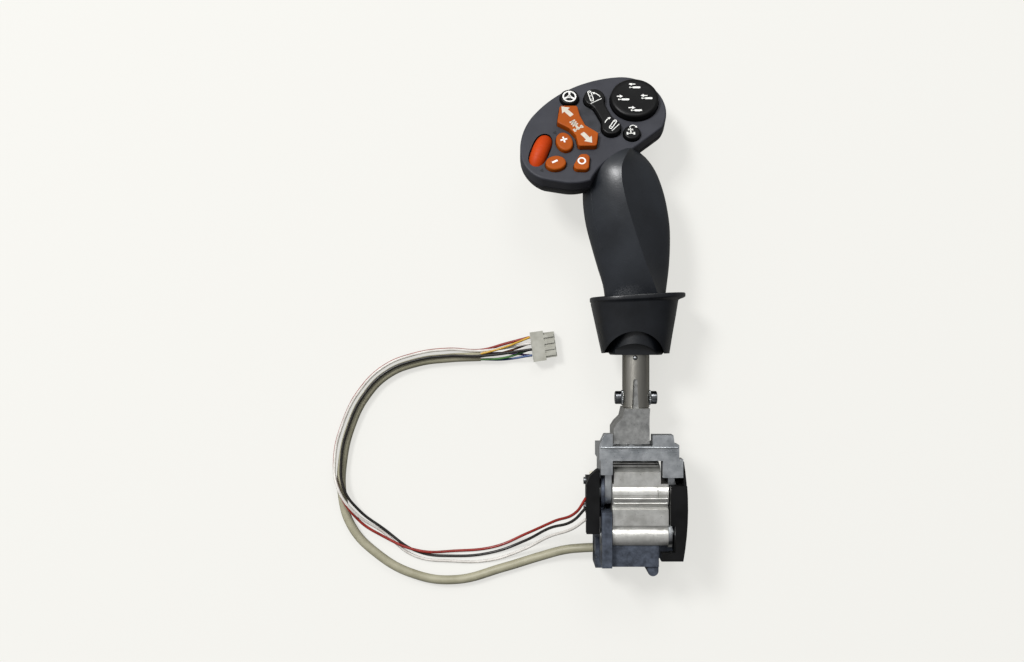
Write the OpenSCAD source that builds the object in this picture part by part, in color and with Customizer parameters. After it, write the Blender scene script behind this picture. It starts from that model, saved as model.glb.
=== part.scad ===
// Industrial two-axis joystick: a tilted key head and a sculpted grip on a steel stem,
// carried by a saddle in a die-cast base with a limit switch, an angle sensor and a loose lead.
// It lies on its back, as on a bench: +Z points up from the bench, +Y runs along the lever to the
// head. The origin is the centre of the four mounting holes, on the back face of the base.

/* [Lever] */
// Height of the lever's axis over the back face of the base
lever_z = 32; // [31:0.5:34]
// Outer diameter of the stem tube
tube_d = 18; // [16:0.5:19]
// Wall of the stem tube
tube_wall = 2; // [1.5:0.25:2.5]
// Lower end of the stem tube
tube_start = 84; // [82:0.5:86]
// Length of the stem tube
tube_l = 112; // [100:1:118]
// Thread size of the clamp screws
clamp_screw_d = 5; // [4:1:5]

/* [Saddle and pivots] */
// Distance of the fore-and-aft axle from the mounting centre
axle_y = 29; // [28:0.5:30]
// Diameter of the fore-and-aft axle
axle_d = 8; // [6:0.5:9]
// Wall of the axle's bushes
bush_wall = 1.5; // [1:0.25:2]
// Distance from the fore-and-aft axle to the side-tilt pin
pin_rise = 29; // [28:0.5:30]
// Diameter of the side-tilt pin
tilt_pin_d = 6; // [5:0.5:7]
// Depth of the saddle, front to back
saddle_t = 40; // [38:0.5:42]
// Thickness of the saddle's cross-bars
bar_t = 7; // [6:0.5:8]

/* [Base] */
// Thickness of the base plate
plate_t = 14; // [13:0.5:15]
// Width of the pivot block between the saddle's legs
block_w = 36.4; // [35:0.2:37]
// Height of the pivot block's front face
block_z = 48; // [46:0.5:49]
// Hole spacing of the mounting pattern, across the lever
mount_x = 32; // [28:1:34]
// Hole spacing of the mounting pattern, along the lever
mount_y = 28; // [24:1:30]
// Tapping diameter of the mounting holes
mount_d = 5; // [4:0.1:5.5]
// Depth of the mounting holes
mount_depth = 11; // [8:0.5:12]

/* [Head] */
// Tilt of the key panel about the cross axis
head_tilt = 27; // [24:1:28]
// Wall of the head's shells
head_wall = 2.4; // [2:0.1:3]
// Depth of the top shell below the panel face
top_shell_h = 8; // [7.5:0.25:8.5]
// Depth of the whole head below the panel face
head_h = 31; // [30:0.5:31.5]
// Play round a key in its opening
key_gap = 0.4; // [0.3:0.05:0.6]
// Travel of a push key
key_travel = 1.5; // [1:0.1:1.5]
// Height of the push keys over the panel
key_h = 3; // [2:0.25:4]
// Height of the rockers over the panel
rocker_h = 4; // [3:0.25:5]
// Diameter of the four-way pad
pad_d = 32; // [28:0.5:32.5]
// Height of the four-way pad over the panel
pad_h = 5; // [4:0.25:6]

/* [Grip and hand rest] */
// Length of the grip from the hand rest to its top
grip_l = 94.8; // [92:0.2:98]
// Wall of the grip's shells
grip_wall = 2.6; // [2:0.2:3]
// Half width of the hand rest's rim
rest_rx = 30; // [28:0.5:31]
// Half depth of the hand rest's rim
rest_rz = 27; // [25:0.5:28]
// Height of the hand rest, rim included
rest_h = 38.5; // [36:0.5:40]
// Thickness of the hand rest's rim
rim_t = 3; // [2:0.5:4]

/* [Cords] */
// Diameter of the main cable
cable_d = 6.2; // [6:0.1:6.4]
// Diameter of the switch wires
wire_d = 1.9; // [1.6:0.1:2]

/* [Hidden] */
$fn = 48;

seat = 0.3;                                // free gap between neighbours that don't touch
run = 0.05;                                // radial play of a turning fit
axle_z = lever_z + 2;                      // height of the fore-and-aft axle
pin_x = -4.7;                              // the side-tilt pin stands left of the lever's axis
pin_y = axle_y + pin_rise;
tube_r = tube_d / 2;
bore_r = tube_r - tube_wall;
tube_end = tube_start + tube_l;
rest_y1 = 158.5;                           // top of the hand rest, where the grip starts
rest_y0 = rest_y1 - rest_h;

// ---- shared functions -----------------------------------------------------------------------
function arc(c, r, a0, a1, n) = [for (i = [0:n]) let (a = a0 + (a1 - a0) * i / n) c + r * [cos(a), sin(a)]];
function unit(v) = v / norm(v);
function cross2(a, b) = a[0] * b[1] - a[1] * b[0];
// where the two edges at corner b meet once each is moved out by d (points run anticlockwise)
function moved(a, b, c, d) = let (u = unit(b - a), v = unit(c - b), m = [u[1], -u[0]], n = [v[1], -v[0]])
    b + d * (m + n) / (1 + m * n);
function grow(p, d) = let (n = len(p)) [for (i = [0:n - 1]) moved(p[(i + n - 1) % n], p[i], p[(i + 1) % n], d)];
// a polygon with each corner rounded to radius r
function rounded(p, r, steps = 5) = let (n = len(p)) [for (i = [0:n - 1])
    let (a = unit(p[(i + n - 1) % n] - p[i]), b = unit(p[(i + 1) % n] - p[i]),
        half = acos(a * b) / 2, c = p[i] + unit(a + b) * r / sin(half),
        ta = p[i] + a * r / tan(half) - c, tb = p[i] + b * r / tan(half) - c,
        a0 = atan2(ta[1], ta[0]), sweep = atan2(cross2(ta, tb), ta * tb))
    for (k = [0:steps]) c + r * [cos(a0 + sweep * k / steps), sin(a0 + sweep * k / steps)]];
function ellipse(rx, ry, n = 32) = [for (i = [0:n - 1]) [rx * cos(360 * i / n), ry * sin(360 * i / n)]];

// a closed skin over rings of points, each ring with the same number of points
module loft(rings) {
    n = len(rings[0]);
    m = len(rings);
    polyhedron(points = [for (r = rings) for (p = r) p],
        faces = concat([[for (i = [0:n - 1]) i]], [[for (i = [n - 1:-1:0]) (m - 1) * n + i]],
            [for (k = [0:m - 2]) for (i = [0:n - 1]) let (j = (i + 1) % n)
                each [[k * n + i, (k + 1) * n + i, (k + 1) * n + j], [k * n + i, (k + 1) * n + j, k * n + j]]]));
}

module along_x(x0, x1, r, y, z) translate([x0, y, z]) rotate([0, 90, 0]) cylinder(h = x1 - x0, r = r);
module along_y(y0, y1, r, x, z) translate([x, y0, z]) rotate([-90, 0, 0]) cylinder(h = y1 - y0, r = r);
// a profile given in Y and Z, run along X
module x_profile(x0, x1) translate([x0, 0, 0]) rotate([90, 0, 90]) linear_extrude(x1 - x0) children();

// a socket head screw lying along +Z, its shank below z = 0 and its head above
module cap_screw(d, shank) {
    head_r = 0.87 * d;
    difference() {
        union() {
            cylinder(h = 0.8 * d, r = head_r);
            translate([0, 0, -shank]) cylinder(h = shank, r = d / 2);
        }
        translate([0, 0, 0.3 * d]) cylinder(h = d, r = 0.45 * d, $fn = 6);
    }
}

// ---- base -----------------------------------------------------------------------------------
block_x0 = -16.8;                          // left face of the pivot block
block_x1 = block_x0 + block_w;
cheek_x0 = -23.9;                          // left cheek of the base, outside the left leg
cheek_t = 2.2;
leg_x0 = cheek_x0 + cheek_t + seat;        // left leg's arm, between cheek and block
leg_x1 = block_x0 - seat;
leg_t = leg_x1 - leg_x0;
rleg_x0 = block_x1 + seat;                 // right leg's arm
rleg_x1 = rleg_x0 + leg_t;
clip_t = 1.2;
axle_end = rleg_x1 + seat + clip_t + 0.8;
cover_x0 = axle_end + seat;                // inner face of the sensor cover
cheek_r = 10.9;
base_x1 = cover_x0 + 4.4;                  // right edge of the base plate
narrow_x1 = block_x0 + 31.4;               // right face of the block's upper part, beside the right leg's pad
foot_w = 30.4;                             // width of the block's foot
axle_r = axle_d / 2;
lower_axle_z = 40;
lower_axle_r = 5;
boss_r = 19.5;                             // top of the pivot block, round the axle

module base_casting() {
    color("#5b6066") difference() {
        union() {
            translate([cheek_x0, -20, 0]) cube([base_x1 - cheek_x0, 56.5, plate_t]);         // plate
            translate([block_x0, -19.2, 0]) cube([foot_w, 14.2, plate_t + 32]);        // foot
            translate([block_x0 + foot_w - lug_r, -22.2, 10]) {                        // lug
                cylinder(h = 34, r = lug_r);
                translate([-lug_r, 0, 0]) cube([2 * lug_r, 4, 34]);
            }
            translate([cheek_x0, -19, plate_t - 1]) cube([6.5, 36, 39]);               // left wall
            x_profile(cheek_x0, cheek_x0 + cheek_t) union() {                          // cheek
                translate([axle_y, axle_z]) circle(r = cheek_r);
                translate([10, plate_t - 1]) square([axle_y - 4, axle_z - plate_t + 1]);
            }
            translate([flange_x0, -24, 0]) cube([5.6, 20.6, 26]);                      // cable flange
        }
        translate([cheek_x0 + cheek_t, 17, plate_t]) cube([4.4, 40, 60]);
        along_x(cheek_x0 - 1, cheek_x0 + cheek_t + 1, axle_r, axle_y, axle_z);
        along_x(cheek_x0 - 1, leg_x1 + 1, lower_axle_r, 0, lower_axle_z);
        along_x(flange_x0 - 1, -19, gland_bore_r, gland_y, gland_z);
        translate([flange_x0, -17.6, 18]) rotate([0, 0, 45]) cube([1.6, 1.6, 10]);
        for (x = [-1, 1] * mount_x / 2, y = [-1, 1] * mount_y / 2)
            translate([x, y, -1]) cylinder(h = mount_depth + 1, d = mount_d);
        for (y = switch_screw_y) along_x(cheek_x0 - 1, cheek_x0 + 5, switch_screw_r, y, switch_screw_z);
        for (y = cover_screw_y) translate([cover_screw_x, y, -1]) {
            cylinder(h = 30, r = cover_screw_r);
            cylinder(h = 4, r = 2.5);
        }
    }
}

lug_r = 3.6;
flange_x0 = -26.4;

module pivot_profile() {
    difference() {
        union() {
            intersection() {
                translate([axle_y, axle_z]) circle(r = boss_r);
                translate([axle_y - 4, plate_t]) square([40, block_z - plate_t]);
            }
            translate([-4.8, plate_t]) square([axle_y + 4.8, block_z - 1.5 - plate_t]);
            translate([axle_y - 1.5, axle_z + 5]) circle(r = 10.5);                    // upper boss
            translate([8, plate_t]) square([10.5, block_z + 0.8 - plate_t]);           // stamped pad
            translate([0, lower_axle_z]) circle(r = lower_axle_r + 3.6);               // lower boss
        }
        for (y = [19.6, 6]) translate([y, block_z - 2.6]) square([1.6, 8]);
        translate([axle_y, 0]) square([30, plate_t + 0.4]);
    }
}

module pivot_block() {
    color("#b9bab8") difference() {
        union() {
            x_profile(block_x0 + 1, narrow_x1) pivot_profile();
            x_profile(block_x0, block_x1) intersection() {
                pivot_profile();
                translate([-20, 0]) square([axle_y + 26, 80]);
            }
        }
        along_x(block_x0 - 1, block_x1 + 1, axle_r, axle_y, axle_z);
        along_x(block_x0 - 1, block_x1 + 1, lower_axle_r, 0, lower_axle_z);
        translate([block_x0 - 1, -9, plate_t - 1]) cube([block_w + 2, 4.2, 34]);
    }
}

module tilt_axle() color("#8c8f91") along_x(cheek_x0 - 1, axle_end, axle_r, axle_y, axle_z);

module lower_axle() {
    color("#8c8f91") union() {
        along_x(cheek_x0 - 0.5, block_x1 + 3, lower_axle_r, 0, lower_axle_z);
        along_x(block_x1, block_x1 + 3, lower_axle_r + 2.4, 0, lower_axle_z);
    }
}

module axle_clips() {
    color("#6d6f70") for (x = [cheek_x0 - 0.7, rleg_x1 + seat]) difference() {
        along_x(x, x + (x < 0 ? 0.7 : clip_t), axle_r + 2.6, axle_y, axle_z);
        along_x(x - 1, x + 3, axle_r, axle_y, axle_z);
        if (x > 0) translate([x - 1, axle_y - 1.5, axle_z - 12]) cube([4, 3, 12 - axle_r * 0.7]);
    }
}

cover_x1 = cover_x0 + 4.6;
cover_side = arc([cover_x1 - 193, 20], 193, -10.2, 9.6, 8);
cover_screw_x = cover_x0 + 2.1;
cover_screw_y = [6, 30];
cover_screw_r = 1.25;

// the cover in plan, from its outer side in to x
module cover_plan(x, y0, y1) intersection() {
    polygon(concat([[-40, -14.2]], cover_side, [[-40, 52.2]]));
    translate([x, y0]) square([60, y1 - y0]);
}

module sensor_cover() {
    color("#232324") difference() {
        union() {
            translate([0, 0, plate_t]) linear_extrude(16) cover_plan(cover_x0, -20, 45);
            translate([0, 0, plate_t]) linear_extrude(40) cover_plan(cover_x0, -20, 34.4);
            translate([0, 0, plate_t]) linear_extrude(38) cover_plan(rleg_x1 + 4.8, 30, 60);
            translate([0, 0, 45.6]) linear_extrude(8.4) {
                cover_plan(block_x1 + 0.6, -20, 34.4);
                cover_plan(block_x0 + foot_w + 0.6, -20, -9.2);
            }
        }
        translate([block_x1, -8.6, 40]) cube([3.7, 17.2, 20]);
        for (y = cover_screw_y) translate([cover_screw_x, y, 0]) cylinder(h = 26, r = cover_screw_r);
    }
}

module sensor_screws() {
    color("#8d8f90") for (y = cover_screw_y) translate([cover_screw_x, y, 0]) {
        translate([0, 0, 3]) cylinder(h = 22, r = cover_screw_r);
        translate([0, 0, 1]) cylinder(h = 2, r = 2.3);
    }
}

// ---- limit switch ---------------------------------------------------------------------------
switch_y0 = 12;
switch_y1 = 37.4;
switch_x1 = cheek_x0;
switch_x0 = switch_x1 - 8.8;
switch_z0 = 17;
switch_z1 = 37;
switch_screw_y = [16.5, 34];
switch_screw_z = 22;
switch_screw_r = 1.25;
plunger_r = 1.6;
plunger_x = switch_x1 - 5;
hood_x1 = switch_x1 - 1.2;                 // right side of the switch's cover

module switch_body() {
    color("#2b2b2c") difference() {
        translate([switch_x0, switch_y0, switch_z0]) cube([switch_x1 - switch_x0, switch_y1 - switch_y0,
            switch_z1 - switch_z0]);
        for (y = switch_screw_y) along_x(switch_x0 - 1, switch_x1 + 1, switch_screw_r, y, switch_screw_z);
        along_x(switch_x1 - 1.5, switch_x1 + 1, axle_r + 3.4, axle_y, axle_z);
        along_y(switch_y1 - 6, switch_y1 + 1, plunger_r + run, plunger_x, 26);
    }
}

module switch_screws() {
    color("#9a9c9c") for (y = switch_screw_y) {
        along_x(switch_x0, switch_x1 + 1.8, switch_screw_r, y, switch_screw_z);
        along_x(switch_x0 - 1.4, switch_x0, 2.4, y, switch_screw_z);
    }
}

module switch_plunger() {
    color("#c9c4b0") union() {
        along_y(switch_y1 - 4, switch_y1 + 2, plunger_r, plunger_x, 26);
        translate([plunger_x, switch_y1 + 2, 26]) sphere(r = plunger_r);
    }
}

module switch_cover() {
    color("#1d1d1e") difference() {
        translate([0, 0, switch_z1]) linear_extrude(8.5) translate([hood_x1, 0]) polygon([[-8.5, 2], [0, 2], [0, 44],
            [-1.7, 44], [-6.1, 40], [-8.5, 34.5]]);
        for (y = [25, 18.6, 11]) along_x(hood_x1 - 9, hood_x1 - 5, wire_r, y, switch_z1 + 4);
    }
}

wire_r = wire_d / 2;
cable_r = cable_d / 2;
gland_y = -13.2;
gland_z = 11;
gland_bore_r = 4.6;

module cable_gland() {
    color("#26282a") difference() {
        along_x(flange_x0 - 0.4, -21.6, gland_bore_r, gland_y, gland_z);
        along_x(flange_x0 - 5, -23, cable_r, gland_y, gland_z);
    }
}

// ---- saddle ---------------------------------------------------------------------------------
saddle_z0 = axle_z - 22;
saddle_z1 = saddle_z0 + saddle_t;
bar_y0 = pin_y - 7.4;
bar_y1 = pin_y + 2;
tilt_r = tilt_pin_d / 2;
bush_r = axle_r + run + bush_wall;

ear_t = 11;                                // depth of the ears, at the front
wing_x0 = -25.7;
wing_x1 = 26;

module saddle_leg(x0, w0, w1, y0, z0) {
    x_profile(x0, x0 + leg_t) union() {
        translate([axle_y, axle_z]) circle(r = 9);
        polygon([[axle_y, axle_z - 9], [axle_y, axle_z + 9], [axle_y + 12, axle_z + 9], [bar_y0 + 1, saddle_z1],
            [bar_y0 + 1, saddle_z0], [axle_y + 12, axle_z - 9]]);
    }
    translate([w0, y0, z0]) cube([w1 - w0, bar_y0 - y0 + 1, saddle_z1 - z0]);
}

module saddle_frame() {
    color("#a9adb1") difference() {
        union() {
            saddle_leg(leg_x0, wing_x0 + 0.9, leg_x1, axle_y + 12.4, saddle_z0 + 4);
            saddle_leg(rleg_x0, narrow_x1 + 0.8, rleg_x1 + 4.4, axle_y + 10.6, saddle_z1 - ear_t);
            for (z = [saddle_z0, saddle_z1 - bar_t]) translate([wing_x0, bar_y0, z])
                cube([wing_x1 - wing_x0, bar_y1 - bar_y0, bar_t]);
            for (x = [[wing_x0, pin_x - 12.4], [pin_x + 13.6, wing_x1]]) translate([x[0], bar_y0, saddle_z0])
                cube([x[1] - x[0], bar_y1 - bar_y0, saddle_t]);
            translate([0, 0, saddle_z1 - ear_t]) linear_extrude(ear_t) {
                polygon([[wing_x0, bar_y0], [pin_x - 12.4, bar_y0], [pin_x - 12.4, 67.8], [-22.3, 67.8], [wing_x0, 60.6]]);
                polygon([[pin_x + 13.6, bar_y0], [wing_x1, bar_y0], [wing_x1, 60.8], [22.9, 62], [22.2, 67.2],
                    [pin_x + 13.6, 67.2]]);
            }
        }
        for (x = [leg_x0, rleg_x0]) along_x(x - 1, x + leg_t + 1, bush_r, axle_y, axle_z);
        translate([pin_x, pin_y, saddle_z0 - 1]) cylinder(h = saddle_t - 1, r = tilt_r);
    }
}

module axle_bushes() {
    color("#a5813f") for (x = [leg_x0, rleg_x0]) difference() {
        along_x(x, x + leg_t, bush_r, axle_y, axle_z);
        along_x(x - 1, x + leg_t + 1, axle_r + run, axle_y, axle_z);
    }
}

module side_tilt_pin() {
    color("#8c8f91") translate([pin_x, pin_y, saddle_z0 - 0.5]) cylinder(h = saddle_t - 1.5, r = tilt_r);
}

// ---- lever ----------------------------------------------------------------------------------
slot_y1 = tube_start + 19;                 // blind end of the tube's slot
clamp_y = tube_start + 6.5;                // the clamp screws' line
spigot_y1 = tube_start + 24;
clamp_r = clamp_screw_d / 2;
washer_t = 1.5;
flat_x = tube_r - 0.6;                     // spot-faced seat of the washers
tongue_t = saddle_t - 2 * bar_t - 2 * seat;

module slot_outline(d) polygon([[-2.6 + d, tube_start - 2], [2.6 - d, tube_start - 2], [1.4 - d, slot_y1 - 1],
    [0.7, slot_y1 - d], [-0.7, slot_y1 - d], [-1.4 + d, slot_y1 - 1]]);

module fork_stem() {
    color("#9fa0a0") difference() {
        union() {
            along_y(tube_start - 1, spigot_y1, bore_r, 0, lever_z);
            translate([0, 0, lever_z + 3]) linear_extrude(tube_r - 3.4) slot_outline(0.2);
            // neck and flare
            translate([0, 0, lever_z - 15]) linear_extrude(30) polygon([[-8.8, tube_start], [7.8, tube_start],
                [7.4, tube_start - 5], [7.3, 74], [7.4, 70], [7.4, pin_y + 3], [-16, pin_y + 3], [-16, 71],
                [-13.8, 74.5], [-10.2, tube_start - 6]]);
            translate([pin_x, pin_y, axle_z - 2 - tongue_t / 2]) cylinder(h = tongue_t, r = 7);
            translate([pin_x - 7, pin_y, axle_z - 2 - tongue_t / 2]) cube([14, 5, tongue_t]);
        }
        translate([pin_x, pin_y, saddle_z0]) cylinder(h = saddle_t, r = tilt_r + run);
        along_x(-bore_r - 2, bore_r + 2, clamp_r, clamp_y, lever_z);
        // the neck is rounded front and back to the tube's width
        for (s = [-1, 1]) translate([-20, tube_start - 12.2, lever_z + s * 15]) rotate([s * 28, 0, 0])
            translate([0, 0, s > 0 ? 0 : -12]) cube([40, 20, 12]);
    }
}

module stem_tube() {
    color("#a19f98") difference() {
        along_y(tube_start, tube_end, tube_r, 0, lever_z);
        along_y(tube_start - 1, tube_end + 1, bore_r, 0, lever_z);
        translate([0, 0, lever_z + 1]) linear_extrude(20) slot_outline(0);
        along_x(-tube_r - 1, tube_r + 1, clamp_r, clamp_y, lever_z);
        for (s = [0, 180]) rotate([0, s, 0]) translate([flat_x, clamp_y, s == 0 ? lever_z : -lever_z])
            rotate([0, 90, 0]) cylinder(h = 5, r = clamp_r * 2.2);
        translate([-1.3, rest_y0 - 2.9, lever_z]) cylinder(h = 20, r = 1.6);
    }
}

module tube_pin() {
    color("#5a5954") translate([-1.3, rest_y0 - 2.9, lever_z]) intersection() {
        cylinder(h = tube_r + 0.6, r = 1.6);
        translate([-3, -3, bore_r - 1.5]) cube([6, 6, 9]);
    }
}

module clamp_screws() {
    color("#33353a") for (s = [-1, 1]) translate([s * (flat_x + washer_t), clamp_y, lever_z])
        rotate([0, s * 90, 0]) cap_screw(clamp_screw_d, flat_x + washer_t - 1.5);
}

module clamp_washers() {
    color("#7a7c80") for (s = [-1, 1]) difference() {
        along_x(s > 0 ? flat_x : -flat_x - washer_t, s > 0 ? flat_x + washer_t : -flat_x, clamp_r * 2, clamp_y, lever_z);
        along_x(-20, 20, clamp_r, clamp_y, lever_z);
    }
}

// ---- hand rest ------------------------------------------------------------------------------
sleeve_r = 18;
rest_cx = -0.4;
lean = 0.055;                              // the rim rises to the right, in mm per mm
rest_floor = [rest_rx - 7.7, rest_rz - 6.5];        // half width and half depth at the foot
rest_neck = [rest_rx - 2.2, rest_rz - 1.8];         // and under the rim

// a rounded rectangle about the lever, with a lip on its right and a share of the rim's lean
function rest_ring(y, r, lip, tilt, n = 40) = [for (i = [0:n - 1]) let (a = 360 * i / n,
    x = rest_cx + r[0] * soft(cos(a)) + lip * pow(max(0, cos(a)), 10))
    [x, y + tilt * lean * x, lever_z - r[1] * soft(sin(a))]];
function soft(c) = sign(c) * pow(abs(c), 0.76);

module hand_rest() {
    w = [2.4, 2.4];
    under = rest_y1 - rim_t;
    color("#2f333a") difference() {
        loft([rest_ring(rest_y0, rest_floor, 0, 0), rest_ring(under - 2, rest_neck, 0.6, 1),
            rest_ring(under, [rest_rx, rest_rz], 3, 1), rest_ring(rest_y1, [rest_rx, rest_rz], 3, 1)]);
        loft([rest_ring(rest_y0 - 1, rest_floor - w, 0, 0), rest_ring(under, rest_neck - w, 0, 1)]);
        along_y(rest_y0 - 5, rest_y1 + 5, tube_r, 0, lever_z);
        translate([-2.5, rest_y0 - 6, lever_z]) cylinder(h = 60, r = 20.5, $fn = 64);
    }
}

module collar_sleeve() {
    color("#24262a") difference() {
        along_y(rest_y0 - 1, rest_y1 - rim_t - 1.4, sleeve_r, 0, lever_z);
        along_y(rest_y0 - 5, rest_y1 + 5, tube_r, 0, lever_z);
        translate([-2.5, rest_y0 - 14, lever_z]) cylinder(h = 60, r = 20.5, $fn = 64);
    }
}

// ---- grip -----------------------------------------------------------------------------------
// stations along the grip: share of its length, left edge, right edge, ridge, front height, back height
grip_split = 38;
grip_table = [[0, -21, 18.9, 12.4, 50, 10], [0.08, -22.4, 19.9, 9.4, 52.5, 8.6], [0.2, -25.9, 21.2, 4.6, 55, 6.8],
    [0.35, -30, 21.9, -0.7, 57.5, 5.4], [0.48, -33.2, 21.6, -4.9, 59.4, 4.8], [0.6, -35, 20, -8.4, 60.6, 5],
    [0.7, -35.5, 17.9, -10.8, 61, 5.6], [0.8, -34.2, 14.8, -12.2, 60.6, 7], [0.88, -31.8, 11.2, -11.6, 59, 9],
    [0.95, -27.4, 6.2, -8.6, 56, 12], [1, -22, 0.6, -5.4, 51.5, 16]];
grip_n = 12;                               // facets on each side of the ridge

// height over the split at share t of the way from the ridge to the edge: full on the thumb's side,
// falling steeply from the crease on the other
function crown_left(t) = 0.2 * (1 - t) + 0.8 * sqrt(max(0, 1 - t * t));
function crown_right(t) = 0.55 * pow(max(0, 1 - t), 1.7) + 0.45 * sqrt(max(0, 1 - t * t));

function front_ring(s, w) = let (l = s[1] + w, r = s[2] - w, m = s[3], h = s[4] - w - grip_split)
    concat([for (i = [0:grip_n]) let (t = cos(90 * i / grip_n)) [m + (l - m) * t, grip_split + h * crown_left(t)]],
        [for (i = [1:grip_n]) let (t = sin(90 * i / grip_n)) [m + (r - m) * t, grip_split + h * crown_right(t)]]);
function rear_ring(s, w) = let (c = (s[1] + s[2]) / 2, a = (s[2] - s[1]) / 2 - w, d = grip_split - s[5] - w)
    [for (i = [0:2 * grip_n]) let (q = 180 * i / (2 * grip_n))
        [c + a * cos(q), grip_split - d * pow(abs(sin(q)), 0.8)]];

module grip_form(front, w, s0 = 0) {
    loft([for (s = grip_table) if (s[0] >= s0) [for (p = front ? front_ring(s, w) : rear_ring(s, w))
        [p[0], rest_y1 + s[0] * grip_l - (s[0] == 1 ? w : 0) + (s[0] == 0 ? lean * p[0] : 0), p[1]]]]);
}

grip_screw_at = [[-14, rest_y1 + 17.5], [14, rest_y1 + 13.5], [-22, rest_y1 + 57.5], [6, rest_y1 + 57.5]];

module grip_bosses() {
    for (p = grip_screw_at) translate([p[0], p[1], 0]) cylinder(h = 80, r = 4);
    along_y(rest_y1, tube_end + 3, tube_r + 3, 0, lever_z);
}

module grip_shell(front) {
    difference() {
        grip_form(front, 0);
        difference() {
            grip_form(front, grip_wall, 0.08);
            grip_bosses();
        }
        along_y(rest_y1 - 1, tube_end, tube_r, 0, lever_z);
        for (p = grip_screw_at) translate([p[0], p[1], -1]) {
            cylinder(h = 44.5, r = 1.5);
            cylinder(h = 17, r = 3.2);
        }
        in_head() translate([0, 0, -60]) linear_extrude(120) polygon(head_outline(0));
    }
}

module grip_front_shell() color("#3d4149") grip_shell(true);
module grip_rear_shell() color("#33363c") grip_shell(false);

module grip_screws() {
    color("#55575b") for (p = grip_screw_at) translate([p[0], p[1], 0]) {
        translate([0, 0, 16]) cylinder(h = 27, r = 1.5);
        translate([0, 0, 13.6]) cylinder(h = 2.4, r = 2.9);
    }
}

// ---- head -----------------------------------------------------------------------------------
// the panel's own frame: origin in its middle, X across, Y up the panel, Z out of its face
head_at = [-29.8, 266.5, 41.9];
bevel = 3;
ledge = -12;                               // seat of the key board below the panel face
pivot_drop = -4.5;                         // pivots of the rockers and the pad

module in_head() translate(head_at) rotate([-head_tilt, 0, 0]) children();

// angle at the centre of circle a between the line to circle b's centre and the point where they meet
function meet(a, ra, b, rb) = let (d = norm(b - a)) acos((ra * ra + d * d - rb * rb) / (2 * ra * d));
side_c = [-14, -8];                        // centre of the panel's foot
notch_c = [38, -57];                       // centre of the hollow that takes the grip's nose
function head_outline(d) = let (side_r = 33.5 - d, notch_r = 43.8 + d, to_notch = notch_c - side_c,
    foot_end = 360 + atan2(to_notch[1], to_notch[0]) - meet(side_c, side_r, notch_c, notch_r),
    notch_start = atan2(-to_notch[1], -to_notch[0]) + meet(notch_c, notch_r, side_c, side_r)) concat(
    arc([21, 16], 28.8 - d, -28, 94, 14), arc([25.4, -34], 79 - d, 98, 140, 9),
    arc([-0.2, -14.7], 47 - d, 145, 184, 7), arc([-25, -17.8], 22 - d, 190, 250, 7),
    arc(side_c, side_r, 262, foot_end, 5), arc(notch_c, notch_r, notch_start - 0.8, 106, 7));
function at_height(p, z) = [for (q = p) [q[0], q[1], z]];

rocker_play = 0.15;                        // a rocker's ends swing out as it tips

// outlines of the keys, each round its own centre
pad_at = [28.7, 23.2];
steering_at = [-14.4, 25.4];
steering_r = 6.2;
headland_at = [25.9, -3.6];
headland_r = 5.6;
lobe_a = [2.1, 24.2];
lobe_b = [12.5, 0.4];
lobe_a_r = 7;
lobe_b_r = 6.4;
neck_w = 7.6;
linkage_at = (lobe_a + lobe_b) / 2;
linkage_turn = atan2(lobe_a[1] - lobe_b[1], lobe_a[0] - lobe_b[0]) - 90;
direction_pts = [[-21, 17.2], [-23, 3.6], [-15, -1.4], [-11, -6.8], [-9.4, -15.4], [2.4, -15.2], [3.8, -5],
    [-4.6, 1.4], [-8, 9.6], [-9.4, 17.2]];
direction_at = [-10.2, 0.8];
direction_turn = 32;
plus_at = [-18.4, -10.9];
plus_turn = -74;
minus_at = [-24.3, -27.6];
ring_pts = [[-14.6, -32.8], [-3.2, -33.4], [-2, -21], [-8.4, -20.6]];
roller_at = [-34, -16];
roller_turn = -19;
roller_major = 13;
roller_minor = 5.5;
roller_drop = -14;                         // the roller's axle below the panel face
lens_at = [-1, 8.4];
lens_turn = -59;

module linkage_outline(g) {
    translate(lobe_a) circle(r = lobe_a_r + g);
    translate(lobe_b) circle(r = lobe_b_r + g);
    translate(linkage_at) rotate(linkage_turn) translate([-neck_w / 2 - g, -10]) square([neck_w + 2 * g, 20]);
}

module direction_outline(g) polygon(rounded(grow(direction_pts, g), 1.8 + g, 3));
module plus_outline(g) translate(plus_at) rotate(plus_turn) polygon(ellipse(7.4 + g, 5.4 + g));
module minus_outline(g) translate(minus_at) rotate(9) polygon(ellipse(6.7 + g, 5.5 + g));
module ring_outline(g) polygon(rounded(grow(ring_pts, g), 3 + g));

module lens_outline(g) translate(lens_at) rotate(lens_turn) polygon(ellipse(12.4 + g, 6.2 + g));

module key_openings(g) {
    translate(pad_at) circle(d = pad_d + 2 * g + 0.4);
    translate(steering_at) circle(r = steering_r + g);
    translate(headland_at) circle(r = headland_r + g);
    linkage_outline(g + rocker_play);
    direction_outline(g + rocker_play);
    plus_outline(g);
    minus_outline(g);
    ring_outline(g);
}

module roller_frame() translate([roller_at[0], roller_at[1], roller_drop]) rotate([0, 0, roller_turn]) children();

// a pair of cheeks under the panel, either side of a rocker's neck
module pivot_cheeks(at, turn, inner, t, w) {
    translate([at[0], at[1], -top_shell_h - 2]) rotate([0, 0, turn]) for (x = [inner, -inner - t])
        translate([x, -w / 2, 0]) cube([t, w, top_shell_h + 2]);
}
module pin_hole(at, turn, half) {
    translate([at[0], at[1], 0]) rotate([0, 0, turn]) along_x(-half, half, pin_r, 0, pivot_drop);
}
module roller_cheeks() {
    roller_frame() for (x = [roller_minor + 0.6, -roller_minor - 1.9]) translate([x, -3, -3])
        cube([1.3, 6, 3 - roller_drop - head_wall]);
}

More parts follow.
